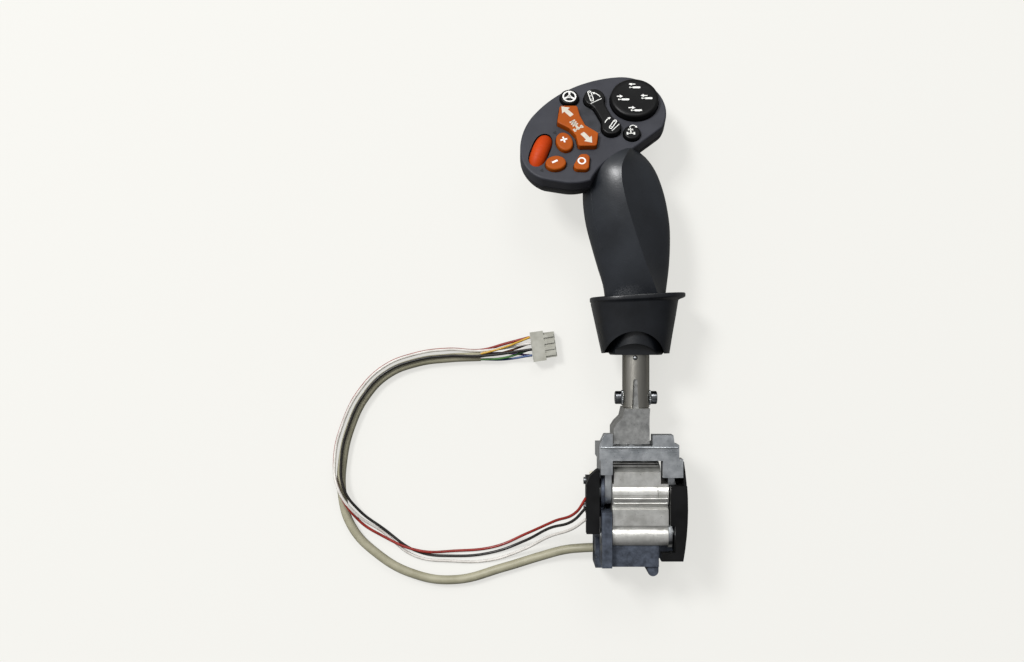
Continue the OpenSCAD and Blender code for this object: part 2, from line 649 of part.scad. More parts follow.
module head_top_shell() {
    color("#4a4b4f") in_head() difference() {
        loft([at_height(head_outline(0), -top_shell_h), at_height(head_outline(0), -bevel),
            at_height(head_outline(0.8), -bevel / 2.6), at_height(head_outline(bevel), 0)]);
        difference() {
            translate([0, 0, -top_shell_h - 1]) linear_extrude(top_shell_h + 1 - head_wall)
                polygon(head_outline(bevel + 0.6));
            for (p = head_screw_at) translate([p[0], p[1], -20]) cylinder(h = 20, r = 2.7);
            pivot_cheeks(linkage_at, linkage_turn, neck_w / 2 + 0.5, 1.6, 5);
            pivot_cheeks(direction_at, direction_turn, hub_w / 2 + 0.3, 1.8, 5);
        }
        translate([0, 0, -head_wall - 0.6]) linear_extrude(20) key_openings(key_gap);
        for (k = [[steering_at, steering_r], [headland_at, headland_r]])
            translate([k[0][0], k[0][1], -top_shell_h - 1]) cylinder(h = top_shell_h - 1, r = k[1] + flange + 0.3);
        roller_frame() rotate([0, 90, 0]) rotate_extrude($fn = 96) translate([roller_major, 0])
            circle(r = roller_minor + 0.5);
        translate([0, 0, -0.8]) linear_extrude(5) lens_outline(0.1);
        for (p = head_screw_at) translate([p[0], p[1], -10]) cylinder(h = 5.2, r = head_screw_r);
        pin_hole(linkage_at, linkage_turn, neck_w / 2 + 2.1);
        pin_hole(direction_at, direction_turn, hub_w / 2 + 2.1);
    }
}

head_screw_at = [[38.5, 6.5], [-3.5, 33.5], [-31, 6], [4.5, -20.5]];
head_screw_r = 1.3;
screw_seat = -15;                          // seat of the head screws' heads below the panel face

// the back shell's rounding, from its floor up: inset of the outline, height
back_rings = [[15, -head_h], [9.5, -head_h + 4.5], [5.8, -head_h + 9], [2.8, -17.5], [1, -13.5], [0, -10],
    [0, -top_shell_h]];

// the back shell is closed and stays solid below the board's ledge, but for the roller's well
module head_back_shell() {
    color("#3c3d41") in_head() difference() {
        intersection() {
            loft([for (k = back_rings) at_height(head_outline(k[0]), k[1])]);
            translate([-100, -100, -50]) cube([200, 200, 60]);
        }
        translate([0, 0, ledge]) linear_extrude(20) polygon(head_outline(head_wall));
        roller_frame() {
            translate([-8.1, -7, -2]) cube([16.2, 14, 16]);
            translate([-8.1, -4, -3.5]) cube([16.2, 8, 4]);
        }
        for (p = head_screw_at) translate([p[0], p[1], 0]) {
            translate([0, 0, -40]) cylinder(h = 50, r = head_screw_r);
            translate([0, 0, -40]) cylinder(h = 40 + screw_seat, r = 2.9);
        }
    }
}

module head_screws() {
    color("#55575b") in_head() for (p = head_screw_at) translate([p[0], p[1], screw_seat]) {
        cylinder(h = -screw_seat - 5, r = head_screw_r);
        translate([0, 0, -2]) cylinder(h = 2, r = 2.6);
    }
}

board_t = 1.6;
mat_z = ledge + board_t;
mat_t = 1.2;

module board_outline(d) difference() {
    polygon(head_outline(head_wall + d));
    translate(roller_at) rotate(roller_turn) translate([-9.5, -15.5]) square([19, 31]);
    for (p = head_screw_at) translate(p) circle(r = head_screw_r + d);
}

module key_board() {
    color("#2f6b45") in_head() translate([0, 0, ledge]) linear_extrude(board_t) board_outline(0.1);
}

module key_mat() {
    color("#6a6a6c") in_head() translate([0, 0, mat_z]) linear_extrude(mat_t) difference() {
        board_outline(1.2);
        translate(pad_at) circle(r = 12.2);
    }
}

module status_lens() {
    color("#77797d") in_head() translate([0, 0, -0.8]) linear_extrude(1.8) difference() {
        lens_outline(0);
        linkage_outline(key_gap + rocker_play);
        direction_outline(key_gap + rocker_play);
    }
}

// ---- keys -----------------------------------------------------------------------------------
pin_r = 1.1;
ring_z = pivot_drop;
hub_w = 9;                                 // width of the direction rocker's hub

module pad_bracket() {
    color("#3a3a3c") in_head() translate([pad_at[0], pad_at[1], 0]) difference() {
        translate([0, 0, mat_z]) cylinder(h = ring_z + 1.6 - mat_z, r = 11.6);
        translate([0, 0, mat_z - 1]) cylinder(h = 20, r = 8.7);
        along_x(-13, 13, 1 + run, 0, ring_z);
    }
}

module pad_ring() {
    color("#8f9092") in_head() translate([pad_at[0], pad_at[1], ring_z]) difference() {
        union() {
            translate([0, 0, -1.5]) cylinder(h = 3, r = 8);
            along_x(-11, 11, 1, 0, 0);
        }
        translate([0, 0, -5]) cylinder(h = 10, r = 5.5);
        along_y(-9, 9, 1 + run, 0, 0);
    }
}

module four_way_pad() {
    color("#1b1b1c") in_head() translate([pad_at[0], pad_at[1], 0]) union() {
        translate([0, 0, -1.4]) cylinder(h = pad_h + 1.4, d = pad_d);
        translate([0, 0, ring_z - 1.5]) cylinder(h = 6, r = 4.6);
        along_y(-7.6, 7.6, 1, 0, ring_z);
    }
}

skirt = -4.8 - key_travel;                 // lower end of a push key's skirt
flange = 0.7;                              // step that keeps a push key in its opening
module push_key(h) {
    translate([0, 0, skirt]) linear_extrude(h - skirt) children(0);
    translate([0, 0, -head_wall - 1.8]) linear_extrude(0.9) children(1);
}

module steering_button() {
    color("#1b1b1c") in_head() translate([steering_at[0], steering_at[1], 0]) union() {
        translate([0, 0, skirt]) cylinder(h = key_h - skirt, r = steering_r);
        translate([0, 0, -head_wall - 1.8]) cylinder(h = 0.9, r = steering_r + flange);
    }
}

module headland_button() {
    color("#1b1b1c") in_head() translate([headland_at[0], headland_at[1], 0]) union() {
        translate([0, 0, skirt]) cylinder(h = key_h - skirt, r = headland_r);
        translate([0, 0, -head_wall - 1.8]) cylinder(h = 0.9, r = headland_r + flange);
    }
}

module plus_button() color("#c25a0c") in_head() push_key(key_h) { plus_outline(0); plus_outline(flange); }
module minus_button() color("#c25a0c") in_head() push_key(key_h) { minus_outline(0); minus_outline(flange); }
module ring_button() color("#c25a0c") in_head() push_key(key_h) { ring_outline(0); ring_outline(flange); }

// a rocker: its cap over an opening, and a hub with a bore under its middle
module rocker_hub(at, turn, w, h) {
    translate([at[0], at[1], 0]) rotate([0, 0, turn]) difference() {
        translate([-w / 2, -2.6, pivot_drop - 2.6]) cube([w, 5.2, 2.6 - pivot_drop]);
        along_x(-20, 20, pin_r + run, 0, pivot_drop);
    }
}

module linkage_rocker() {
    color("#1b1b1c") in_head() union() {
        translate([0, 0, -head_wall]) linear_extrude(rocker_h + head_wall) linkage_outline(0);
        rocker_hub(linkage_at, linkage_turn, neck_w, rocker_h);
    }
}

module direction_rocker() {
    color("#c25a0c") in_head() union() {
        translate([0, 0, -head_wall]) linear_extrude(rocker_h + head_wall) direction_outline(0);
        rocker_hub(direction_at, direction_turn, hub_w, rocker_h);
    }
}

module pivot_pin(at, turn, half) {
    in_head() translate([at[0], at[1], 0]) rotate([0, 0, turn]) along_x(-half, half, pin_r, 0, pivot_drop);
}

module linkage_pin() color("#8f9092") pivot_pin(linkage_at, linkage_turn, neck_w / 2 + 2.1);
module direction_pin() color("#8f9092") pivot_pin(direction_at, direction_turn, hub_w / 2 + 2.1);

roller_reach = 46;                         // half the angle that the roller's rim spans

module thumb_roller() {
    color("#c84a10") in_head() roller_frame() difference() {
        union() {
            rotate([0, 90, 0]) rotate([0, 0, 180 - roller_reach]) rotate_extrude(angle = 2 * roller_reach, $fn = 96)
                translate([roller_major, 0]) circle(r = roller_minor);
            x_profile(-2.4, 2.4) polygon([[0, -3], [2.6, -1.6], [6.4, 5.5], [5, 9.5], [0, 11], [-5, 9.5],
                [-6.4, 5.5], [-2.6, -1.6]]);
            along_x(-5.8, 5.8, 3, 0, 0);
        }
        along_x(-8, 8, pin_r + run, 0, 0);
    }
}

// the cheeks that carry the roller, under the panel
module roller_bracket() {
    color("#3a3a3c") in_head() difference() {
        intersection() {
            roller_cheeks();
            translate([0, 0, -30]) linear_extrude(40) polygon(head_outline(head_wall + 2.2));
        }
        roller_frame() along_x(-9, 9, pin_r, 0, 0);
    }
}

module roller_pin() color("#8f9092") in_head() roller_frame() along_x(-7.8, 7.8, pin_r, 0, 0);

// ---- cords ----------------------------------------------------------------------------------
// The lead leaves the gland, drops to the bench and swings round in one wide loop to its connector.
// The switch wires drop from the switch cover, cross over the lead and follow its outer side.
cable_route = [[-26.9, -13.2, 11], [-34, -13.7, 10.2], [-46, -15.5, 7.4], [-62, -20.5, 3.6], [-88, -28.5, 3.1], [-122, -37, 3.1],
    [-150, -33, 3.1], [-176, -18.5, 3.1], [-193, 0, 3.1], [-199.5, 22, 3.1], [-199, 46, 3.1], [-193.5, 69, 3.1],
    [-183, 90, 3.1], [-168, 105, 3.1], [-148, 113, 3.1], [-126, 116, 3.1], [-104, 117, 3.1]];
red_route = [[-33.7, 25, 41], [-40, 15, 37], [-54, 6.5, 22], [-72, -4.5, 6], [-94, -14.5, 1], [-122, -17.5, 1],
    [-146, -17, 3.4], [-172.3, -6.4, 3.2], [-188.6, 5.4, 6], [-201.5, 26, 7.6], [-205.2, 46.5, 1.2], [-199.3, 71.6, 1.2],
    [-187.8, 94, 1.2], [-171, 110.4, 1.2], [-149.5, 119, 1.2], [-126.6, 122.2, 1.2], [-104, 121.5, 2],
    [-86, 126.2, 2], [-70, 130.4, 3]];
black_route = [[-33.7, 18.6, 41], [-42, 9, 35], [-57, 1.5, 20], [-74, -10, 5], [-96, -18.5, 1], [-122, -21, 1],
    [-148, -17.8, 1], [-172, -1.5, 1.4], [-187.5, 11, 4.6], [-197.6, 26, 7.8], [-199.6, 46, 7.6],
    [-194.4, 69.6, 7.6], [-184, 91, 7.6], [-168.6, 106.6, 7.6], [-148.4, 114.6, 7.6], [-126, 117.6, 7.6],
    [-104, 117.6, 7.4], [-68.6, 122, 6.4]];
white_route = [[-33.7, 11, 41], [-42, 3.5, 33], [-57, -4.5, 18], [-76, -16.5, 4.5], [-98, -24, 1], [-124, -24.5, 1],
    [-150, -20.8, 1], [-172.5, -3.6, 1.2], [-190, 10, 8.8], [-201.6, 27, 9.7], [-204.6, 46.4, 3.5],
    [-198.9, 71.3, 3.4], [-187.4, 93.6, 3.4], [-170.8, 110, 3.4], [-149.4, 118.6, 3.4], [-126.6, 121.8, 3.4],
    [-104, 121, 4.2], [-69.2, 126.2, 6.4]];
connector_at = [-64.3, 124.2];
connector_turn = 8;
connector_x0 = -4.4;
way_pitch = 4.2;
way_z = [3, 6.4];

// points of one ring of a cord about point i of its route
function ring(route, i, r, sides) = let (n = len(route), t = unit(route[min(i + 1, n - 1)] - route[max(i - 1, 0)]),
    side = unit(cross(t, [0, 0, 1])), up = cross(side, t))
    [for (k = [0:sides - 1]) route[i] + r * (cos(360 * k / sides) * side + sin(360 * k / sides) * up)];
module cord(route, r, sides = 8) loft([for (i = [0:len(route) - 1]) ring(route, i, r, sides)]);

module main_cable() color("#a19d86") cord(cable_route, cable_r, 10);
module red_wire() color("#8a1f16") cord(red_route, wire_r);
module black_wire() color("#1c1a18") cord(black_route, wire_r);
module white_wire() color("#cfcac4") cord(white_route, wire_r);

fan_r = 0.75;
fan_routes = [[[-103.8, 118.9, 4.6], [-88, 123.3, 7.8], [-70, 130.4, 6.4]],
    [[-103.8, 117, 3.1], [-88, 119.9, 4], [-69.5, 126.3, 3]], [[-103.8, 115.1, 4.6], [-88, 116.2, 5.1], [-68.9, 122.1, 3]],
    [[-103.8, 118.9, 1.6], [-88, 119.5, 2.1], [-68.3, 117.7, 3]], [[-103.8, 115.1, 1.6], [-88, 115, 2.1], [-68.4, 118, 6.4]]];
module fan_out_wires() color("#7a5a2c") for (route = fan_routes) cord(route, fan_r);

module in_connector() translate(connector_at) rotate([0, 0, connector_turn]) children();

module connector_housing() {
    color("#a6a69b") in_connector() difference() {
        union() {
            translate([connector_x0, -10.2, 0]) cube([8.8, 20.4, 9.4]);
            translate([4.4, -8.7, 0.5]) cube([7.6, 17.4, 8.2]);
            for (i = [0:3]) translate([4.4, (i - 1.5) * way_pitch - 1.1, 8]) cube([7, 2.2, 1.6]);
        }
        for (i = [0:3], z = way_z) translate([4, (i - 1.5) * way_pitch - 1.2, z - 1]) cube([12, 2.4, 2.2]);
    }
}

module connector_contacts() {
    color("#b9a46a") in_connector() for (i = [0:3], z = way_z)
        translate([4, (i - 1.5) * way_pitch - 0.8, z - 0.4]) cube([7.4, 1.6, 0.8]);
}

base_casting();
pivot_block();
tilt_axle();
lower_axle();
axle_clips();
sensor_cover();
sensor_screws();
switch_body();
switch_cover();
switch_screws();
switch_plunger();
cable_gland();
saddle_frame();
axle_bushes();
side_tilt_pin();
fork_stem();
stem_tube();
tube_pin();
clamp_screws();
clamp_washers();
collar_sleeve();
hand_rest();
grip_front_shell();
grip_rear_shell();
grip_screws();
head_top_shell();
head_back_shell();
head_screws();
key_board();
key_mat();
status_lens();
pad_bracket();
pad_ring();
four_way_pad();
steering_button();
linkage_rocker();
linkage_pin();
headland_button();
direction_rocker();
direction_pin();
plus_button();
minus_button();
ring_button();
thumb_roller();
roller_pin();
roller_bracket();
main_cable();
red_wire();
black_wire();
white_wire();
fan_out_wires();
connector_housing();
connector_contacts();
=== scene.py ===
# Industrial two-axis joystick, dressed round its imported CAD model.
# It lies on its back on a pale bench and is seen from straight above.
# Pieces are drawn in millimetres and placed in metres.
import math

import bmesh
import bpy
from mathutils import Matrix, Vector, noise
from mathutils.bvhtree import BVHTree


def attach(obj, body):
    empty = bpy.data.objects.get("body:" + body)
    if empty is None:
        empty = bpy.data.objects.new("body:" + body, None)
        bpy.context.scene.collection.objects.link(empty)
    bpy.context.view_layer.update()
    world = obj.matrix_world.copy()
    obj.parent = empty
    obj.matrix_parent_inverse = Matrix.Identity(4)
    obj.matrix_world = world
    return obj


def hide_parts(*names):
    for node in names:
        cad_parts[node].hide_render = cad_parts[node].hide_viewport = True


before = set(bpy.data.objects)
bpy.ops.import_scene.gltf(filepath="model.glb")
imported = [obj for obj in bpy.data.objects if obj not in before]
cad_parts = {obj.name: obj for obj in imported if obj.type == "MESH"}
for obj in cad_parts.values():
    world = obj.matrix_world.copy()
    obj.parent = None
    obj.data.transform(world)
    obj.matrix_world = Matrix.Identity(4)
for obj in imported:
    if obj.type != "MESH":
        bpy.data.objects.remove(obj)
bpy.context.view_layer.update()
print("frame loaded")

scene = bpy.context.scene
cameraView = {"place": (-0.0823, 0.1347, 0.780), "lens": 39.55, "sensor": 36}
eye = bpy.data.cameras.new("benchCamera")
eye.lens, eye.sensor_width = cameraView["lens"], cameraView["sensor"]
eye.clip_start, eye.clip_end = 0.01, 20
eyeObject = bpy.data.objects.new("benchCamera", eye)
eyeObject.location = cameraView["place"]
scene.collection.objects.link(eyeObject)
scene.camera = eyeObject
scene.view_settings.view_transform = "Standard"

# colours are written in sRGB and turned to linear here
def linear(hexColour):
    parts = [int(hexColour[i:i + 2], 16) / 255 for i in (1, 3, 5)]
    return [c / 12.92 if c <= 0.04045 else ((c + 0.055) / 1.055) ** 2.4 for c in parts] + [1]


# one shader node with its settings, socket values and links
def addNode(tree, kind, values={}, links={}, **settings):
    node = tree.nodes.new("ShaderNode" + kind)
    for key, value in settings.items():
        setattr(node, key, value)
    for socket, value in values.items():
        node.inputs[socket].default_value = value
    for socket, source in links.items():
        tree.links.new(source, node.inputs[socket])
    return node


# a pattern of this real size in millimetres, as a scale for Object coordinates
def perMetre(millimetres):
    return 1000 / millimetres


def newFinish(name):
    finish = bpy.data.materials.new(name)
    finish.use_nodes = True
    tree = finish.node_tree
    shader = tree.nodes["Principled BSDF"]
    coords = addNode(tree, "TexCoord").outputs["Object"]
    return finish, tree, shader, coords


# colour that drifts between two tones over patches of a given size
def mottled(tree, coords, colours, patch, low=0.35, high=0.65, stretch=(1, 1, 1)):
    place = addNode(tree, "Mapping", {"Scale": stretch}, {"Vector": coords})
    cloud = addNode(tree, "TexNoise", {"Scale": perMetre(patch), "Detail": 5, "Roughness": 0.6},
                    {"Vector": place.outputs["Vector"]})
    share = addNode(tree, "MapRange", {"From Min": low, "From Max": high}, {"Value": cloud.outputs["Fac"]})
    mix = addNode(tree, "MixRGB", {"Color1": linear(colours[0]), "Color2": linear(colours[1])},
                  {"Fac": share.outputs["Result"]})
    return mix.outputs["Color"], share.outputs["Result"]


# fine relief of a moulded, cast or blasted surface
def grained(tree, coords, size, height, normal=None, stretch=(1, 1, 1), detail=2):
    place = addNode(tree, "Mapping", {"Scale": stretch}, {"Vector": coords})
    grit = addNode(tree, "TexNoise", {"Scale": perMetre(size), "Detail": detail, "Roughness": 0.55},
                   {"Vector": place.outputs["Vector"]})
    links = {"Height": grit.outputs["Fac"]}
    if normal:
        links["Normal"] = normal
    bump = addNode(tree, "Bump", {"Strength": 1, "Distance": height / 1000}, links)
    return bump.outputs["Normal"], grit.outputs["Fac"]


def rangeOf(tree, source, low, high, start=0.3, end=0.7):
    spread = addNode(tree, "MapRange", {"From Min": start, "From Max": end, "To Min": low, "To Max": high},
                     {"Value": source})
    return spread.outputs["Result"]


# moulded plastic: spark-eroded grain, faint tone drift, roughness that varies with handling
def mouldedPlastic(name, colours, roughness, grain, depth, patch=18, specular=0.5):
    finish, tree, shader, coords = newFinish(name)
    colour, share = mottled(tree, coords, colours, patch)
    normal, grit = grained(tree, coords, grain, depth)
    tree.links.new(colour, shader.inputs["Base Color"])
    tree.links.new(rangeOf(tree, share, roughness[0], roughness[1], 0, 1), shader.inputs["Roughness"])
    tree.links.new(normal, shader.inputs["Normal"])
    shader.inputs["IOR"].default_value = 1.5
    shader.inputs["Specular IOR Level"].default_value = specular
    return finish


# bare or plated metal: tone drift, roughness patches and a relief of grit or of drawing marks
def bareMetal(name, colours, roughness, metallic, grain, depth, patch, stretch=(1, 1, 1)):
    finish, tree, shader, coords = newFinish(name)
    colour, share = mottled(tree, coords, colours, patch, stretch=stretch)
    normal, grit = grained(tree, coords, grain, depth, stretch=stretch, detail=4)
    tree.links.new(colour, shader.inputs["Base Color"])
    tree.links.new(rangeOf(tree, grit, roughness[0], roughness[1]), shader.inputs["Roughness"])
    tree.links.new(normal, shader.inputs["Normal"])
    shader.inputs["Metallic"].default_value = metallic
    return finish


# each look: two tones, roughness range, grain size and relief in mm, patch size in mm, reflection or stretch
plastics = {
    # spark-eroded ABS of the key head: dark cool grey with a dull, scattered highlight
    "panelAbs": (("#2e2f35", "#37383e"), (0.46, 0.58), 0.8, 0.05, 18, 0.3),
    "backAbs": (("#1c1d20", "#232427"), (0.48, 0.58), 0.8, 0.05, 18, 0.3),
    # soft-touch polyurethane of the grip: slate black with a wide sheen
    "gripSoft": (("#16191e", "#1c2026"), (0.3, 0.42), 0.9, 0.06, 25, 0.6),
    # moulded ABS of the hand rest: near black, a little shinier than the head
    "restAbs": (("#0a0c10", "#101318"), (0.3, 0.4), 0.9, 0.04, 18, 0.5),
    # silk-moulded ABS of the keys: even colour, soft light along the rims
    "blackKey": (("#060606", "#0a0a0a"), (0.34, 0.44), 0.6, 0.02, 18, 0.2),
    "orangeKey": (("#964200", "#a04a00"), (0.44, 0.54), 0.6, 0.02, 18, 0.2),
    "rollerAbs": (("#ac3400", "#b83c02"), (0.46, 0.56), 0.6, 0.02, 18, 0.2),
    # smoked polycarbonate of the lens: polished, so it mirrors the sky a little
    "lensGrey": (("#26272b", "#323338"), (0.12, 0.18), 3, 0.001, 6, 0.6),
    # pad-printed ink: flat, a touch rough
    "paleInk": (("#dcdcd6", "#eeeeea"), (0.5, 0.6), 0.5, 0.01, 4),
    "greyInk": (("#bdb6a8", "#cbc5b8"), (0.5, 0.6), 0.5, 0.01, 4),
    # glass-filled nylon of the switch and sensor housings: black, faintly mottled
    "blackNylon": (("#060606", "#0c0c0d"), (0.42, 0.6), 0.7, 0.05, 12, 0.2),
    # bearing grease pressed out beside the boss: whitish and lumpy
    "bearingPaste": (("#a9adaf", "#c6cacb"), (0.25, 0.4), 2.2, 0.2, 3),
    # moulded EPDM rubber: dull dark grey
    "glandRubber": (("#222426", "#2c2e31"), (0.55, 0.7), 0.6, 0.03),
    # turned acetal: ivory, smooth
    "ivoryAcetal": (("#c4beaa", "#d4cfbd"), (0.3, 0.4), 0.8, 0.01),
    # natural nylon of the connector: grey beige, dull
    "connectorNylon": (("#9c9b90", "#aeada3"), (0.42, 0.55), 0.9, 0.03, 6),
    # solder resist on the key board: green and glossy
    "boardResist": (("#27603a", "#2f6e45"), (0.25, 0.35), 1.2, 0.01),
    # silicone key mat: matt grey
    "keyMat": (("#626264", "#6e6e70"), (0.6, 0.7), 0.8, 0.02),
    # extruded PVC sheath: olive grey, lightly scuffed
    "sheathPvc": (("#938f78", "#a5a18a"), (0.4, 0.55), 1.6, 0.04, 14),
}
metals = {
    # drawn steel tube: fine marks along its length
    "drawnSteel": (("#8d8b84", "#a5a29a"), (0.28, 0.42), 1, 0.5, 0.012, 12, (1, 0.12, 1)),
    # die-cast aluminium and zinc, as cast: bright where handled, mottled and pitted elsewhere
    "castAluminium": (("#c2c1bb", "#e2e1dc"), (0.26, 0.46), 0.9, 0.8, 0.05, 8),
    "greyCasting": (("#3c414a", "#5c6370"), (0.34, 0.56), 0.6, 1.1, 0.12, 5),
    "saddleCasting": (("#9b9fa2", "#c6c9cb"), (0.26, 0.44), 0.9, 0.9, 0.05, 8),
    "stemCasting": (("#90908e", "#b9b9b6"), (0.26, 0.44), 0.9, 0.7, 0.06, 5),
    # ground steel of axles, clips and washers: smooth and grey
    "groundSteel": (("#8c8f91", "#a4a6a7"), (0.25, 0.4), 1, 0.4, 0.01, 6),
    # blackened and zinc-plated screws
    "blackenedSteel": (("#24262a", "#34373c"), (0.34, 0.5), 0.7, 0.4, 0.015, 4),
    "zincSteel": (("#55575a", "#86888a"), (0.16, 0.3), 1, 0.4, 0.012, 3),
    # sintered bronze bushes: brown, open-grained
    "sinteredBronze": (("#7d6030", "#9c7c42"), (0.4, 0.55), 1, 0.5, 0.03, 3),
    # tinned brass contacts: pale yellow
    "tinnedBrass": (("#a8945c", "#c4b27c"), (0.3, 0.4), 1, 0.4, 0.01, 3),
}
finishes = {name: mouldedPlastic(name, *look) for name, look in plastics.items()}
finishes.update({name: bareMetal(name, *look) for name, look in metals.items()})
# extruded PVC of the wires, in the eight usual shades
wireColours = {"red": ("#7a1c14", "#93271c"), "black": ("#171513", "#24211e"),
               "white": ("#c2bdb6", "#d9d5cf"), "yellow": ("#b08a24", "#c79c30"),
               "brown": ("#553018", "#683c20"), "green": ("#3c6a34", "#4a7c40"),
               "violet": ("#4e3a66", "#604878"), "blue": ("#27406c", "#345082")}
for shade, tones in wireColours.items():
    finishes[shade + "Pvc"] = mouldedPlastic(shade + "Pvc", tones, (0.32, 0.45), 1.2, 0.02, 8)
print("finishes made")

# the key head leans back; its own frame has the panel at z = 0
headAt = {"origin": (-29.8, 266.5, 41.9), "tilt": 27}
headFrame = Matrix.Translation(headAt["origin"]) @ Matrix.Rotation(math.radians(-headAt["tilt"]), 4, "X")
rowFrame = Matrix.Identity(4)


def arcPoints(centre, radius, start, end, steps):
    angles = [math.radians(start + (end - start) * i / steps) for i in range(steps + 1)]
    return [Vector((centre[0] + radius * math.cos(a), centre[1] + radius * math.sin(a))) for a in angles]


def asObject(bm, name):
    mesh = bpy.data.meshes.new(name)
    bm.to_mesh(mesh)
    bm.free()
    piece = bpy.data.objects.new(name, mesh)
    scene.collection.objects.link(piece)
    return piece


def welded(bm, gap):
    bmesh.ops.remove_doubles(bm, verts=bm.verts, dist=gap)


# a flat outline given a thickness
def plate(points, low, high):
    bm = bmesh.new()
    face = bm.faces.new([bm.verts.new((p[0], p[1], low)) for p in points])
    lifted = bmesh.ops.extrude_face_region(bm, geom=[face])["geom"]
    bmesh.ops.translate(bm, verts=[v for v in lifted if isinstance(v, bmesh.types.BMVert)],
                        vec=(0, 0, high - low))
    bmesh.ops.recalc_face_normals(bm, faces=bm.faces)
    return bm


# radii and stations spun about Z, then laid along the axis asked for
def turned(profile, steps=48, closed=False, axis="Z", at=(0, 0, 0), bm=None):
    part = bmesh.new()
    verts = [part.verts.new((r, 0, z)) for r, z in profile]
    edges = [part.edges.new(pair) for pair in zip(verts, verts[1:])]
    if closed:
        edges.append(part.edges.new((verts[-1], verts[0])))
    bmesh.ops.spin(part, geom=verts + edges, cent=(0, 0, 0), axis=(0, 0, 1), angle=2 * math.pi, steps=steps,
                   use_merge=True, use_duplicate=False)
    welded(part, 1e-4)
    bmesh.ops.recalc_face_normals(part, faces=part.faces)
    quarter = math.pi / 2
    lay = {"Z": Matrix.Identity(4), "X": Matrix.Rotation(quarter, 4, "Y"),
           "-X": Matrix.Rotation(-quarter, 4, "Y"), "Y": Matrix.Rotation(-quarter, 4, "X")}[axis]
    part.transform(Matrix.Translation(at) @ lay)
    if bm is None:
        return part
    return merged(bm, part)


# a plain round rod between two stations
def rod(radius, low, high, steps, **place):
    return turned([(0, low), (radius, low), (radius, high), (0, high)], steps, **place)


# one mesh joined into another
def merged(bm, part):
    spare = bpy.data.meshes.new("spare")
    part.to_mesh(spare)
    part.free()
    bm.from_mesh(spare)
    bpy.data.meshes.remove(spare)
    return bm


def box(low, high):
    part = bmesh.new()
    bmesh.ops.create_cube(part, size=1)
    size = [b - a for a, b in zip(low, high)]
    part.transform(Matrix.Translation([(a + b) / 2 for a, b in zip(low, high)]) @ Matrix.Diagonal(size + [1]))
    return part


def bevelled(bm, edges, radius, segments):
    bmesh.ops.bevel(bm, geom=edges, offset=radius, segments=segments, profile=0.5, affect="EDGES",
                    clamp_overlap=True, material=-1)


# faces that lie flat within this many degrees become one
def flattened(bm, degrees):
    bmesh.ops.dissolve_limit(bm, angle_limit=math.radians(degrees), verts=bm.verts, edges=bm.edges)


# round the sharp edges of a mesh
def eased(bm, radius, segments=2, above=32, within=None):
    sharp = [e for e in bm.edges if e.is_manifold and e.calc_face_angle(0) > math.radians(above)
             and (within is None or all(within(v.co) for v in e.verts))]
    bevelled(bm, sharp, radius, segments)
    welded(bm, 2e-3)
    return bm


# a welded copy of a CAD node in millimetres
def copyOfNode(nodeName):
    bm = bmesh.new()
    bm.from_mesh(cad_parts[nodeName].data)
    bm.transform(Matrix.Scale(1000, 4))
    welded(bm, 3e-3)
    flattened(bm, 0.6)
    return bm


# one mesh with the shapes of others cut out of it
def cutAway(bm, *cutters):
    work, tools = asObject(bm, "work"), [asObject(cutter, "cutter") for cutter in cutters]
    for tool in tools:
        cut = work.modifiers.new("cut", "BOOLEAN")
        cut.operation, cut.object, cut.solver = "DIFFERENCE", tool, "EXACT"
    mesh = bpy.data.meshes.new_from_object(work.evaluated_get(bpy.context.evaluated_depsgraph_get()))
    work.modifiers.clear()
    bm = bmesh.new()
    bm.from_mesh(mesh)
    welded(bm, 1e-3)
    for gone in [work] + tools:
        data = gone.data
        bpy.data.objects.remove(gone)
        bpy.data.meshes.remove(data)
    return bm


# a finished piece on its body, with the nodes it stands for hidden
def piece(name, bm, finish, body, slotName, stands=(), at=rowFrame, smooth=35, weighted=True):
    bm.transform(Matrix.Scale(0.001, 4) @ at)
    made = asObject(bm, name)
    made.data.materials.clear()
    made.data.materials.append(finishes[finish])
    made.data.shade_smooth()
    made.data.set_sharp_from_angle(angle=math.radians(smooth))
    if weighted:
        made.modifiers.new("normals", "WEIGHTED_NORMAL").keep_sharp = True
    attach(made, body)
    if stands:
        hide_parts(*stands)
    return made


# CAD nodes kept as they are take a finish
def dress(finish, *nodeNames):
    for nodeName in nodeNames:
        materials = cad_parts[nodeName].data.materials
        materials.clear()
        materials.append(finishes[finish])


# an outline moved outwards by d
def grown(points, d):
    out = []
    for i, b in enumerate(points):
        u, v = (b - points[i - 1]).normalized(), (points[(i + 1) % len(points)] - b).normalized()
        m, n = Vector((u.y, -u.x)), Vector((v.y, -v.x))
        out.append(b + d * (m + n) / (1 + m.dot(n)))
    return out


# an outline with its corners rounded
def rounded(points, radius, steps=8):
    out = []
    for i, p in enumerate(points):
        a, b = (points[i - 1] - p).normalized(), (points[(i + 1) % len(points)] - p).normalized()
        half = math.acos(a.dot(b)) / 2
        centre = p + (a + b).normalized() * radius / math.sin(half)
        ta, tb = p + a * radius / math.tan(half) - centre, p + b * radius / math.tan(half) - centre
        start, sweep = math.atan2(ta.y, ta.x), math.atan2(ta.x * tb.y - ta.y * tb.x, ta.dot(tb))
        angles = [start + sweep * k / steps for k in range(steps + 1)]
        out += [centre + radius * Vector((math.cos(angle), math.sin(angle))) for angle in angles]
    return out


# an outline turned, then moved
def placed(points, at, turn):
    spin = Matrix.Rotation(math.radians(turn), 2)
    return [spin @ Vector(p) + Vector(at) for p in points]


def ellipse(rx, ry, steps=48):
    return [Vector((rx * math.cos(2 * math.pi * i / steps), ry * math.sin(2 * math.pi * i / steps)))
            for i in range(steps)]


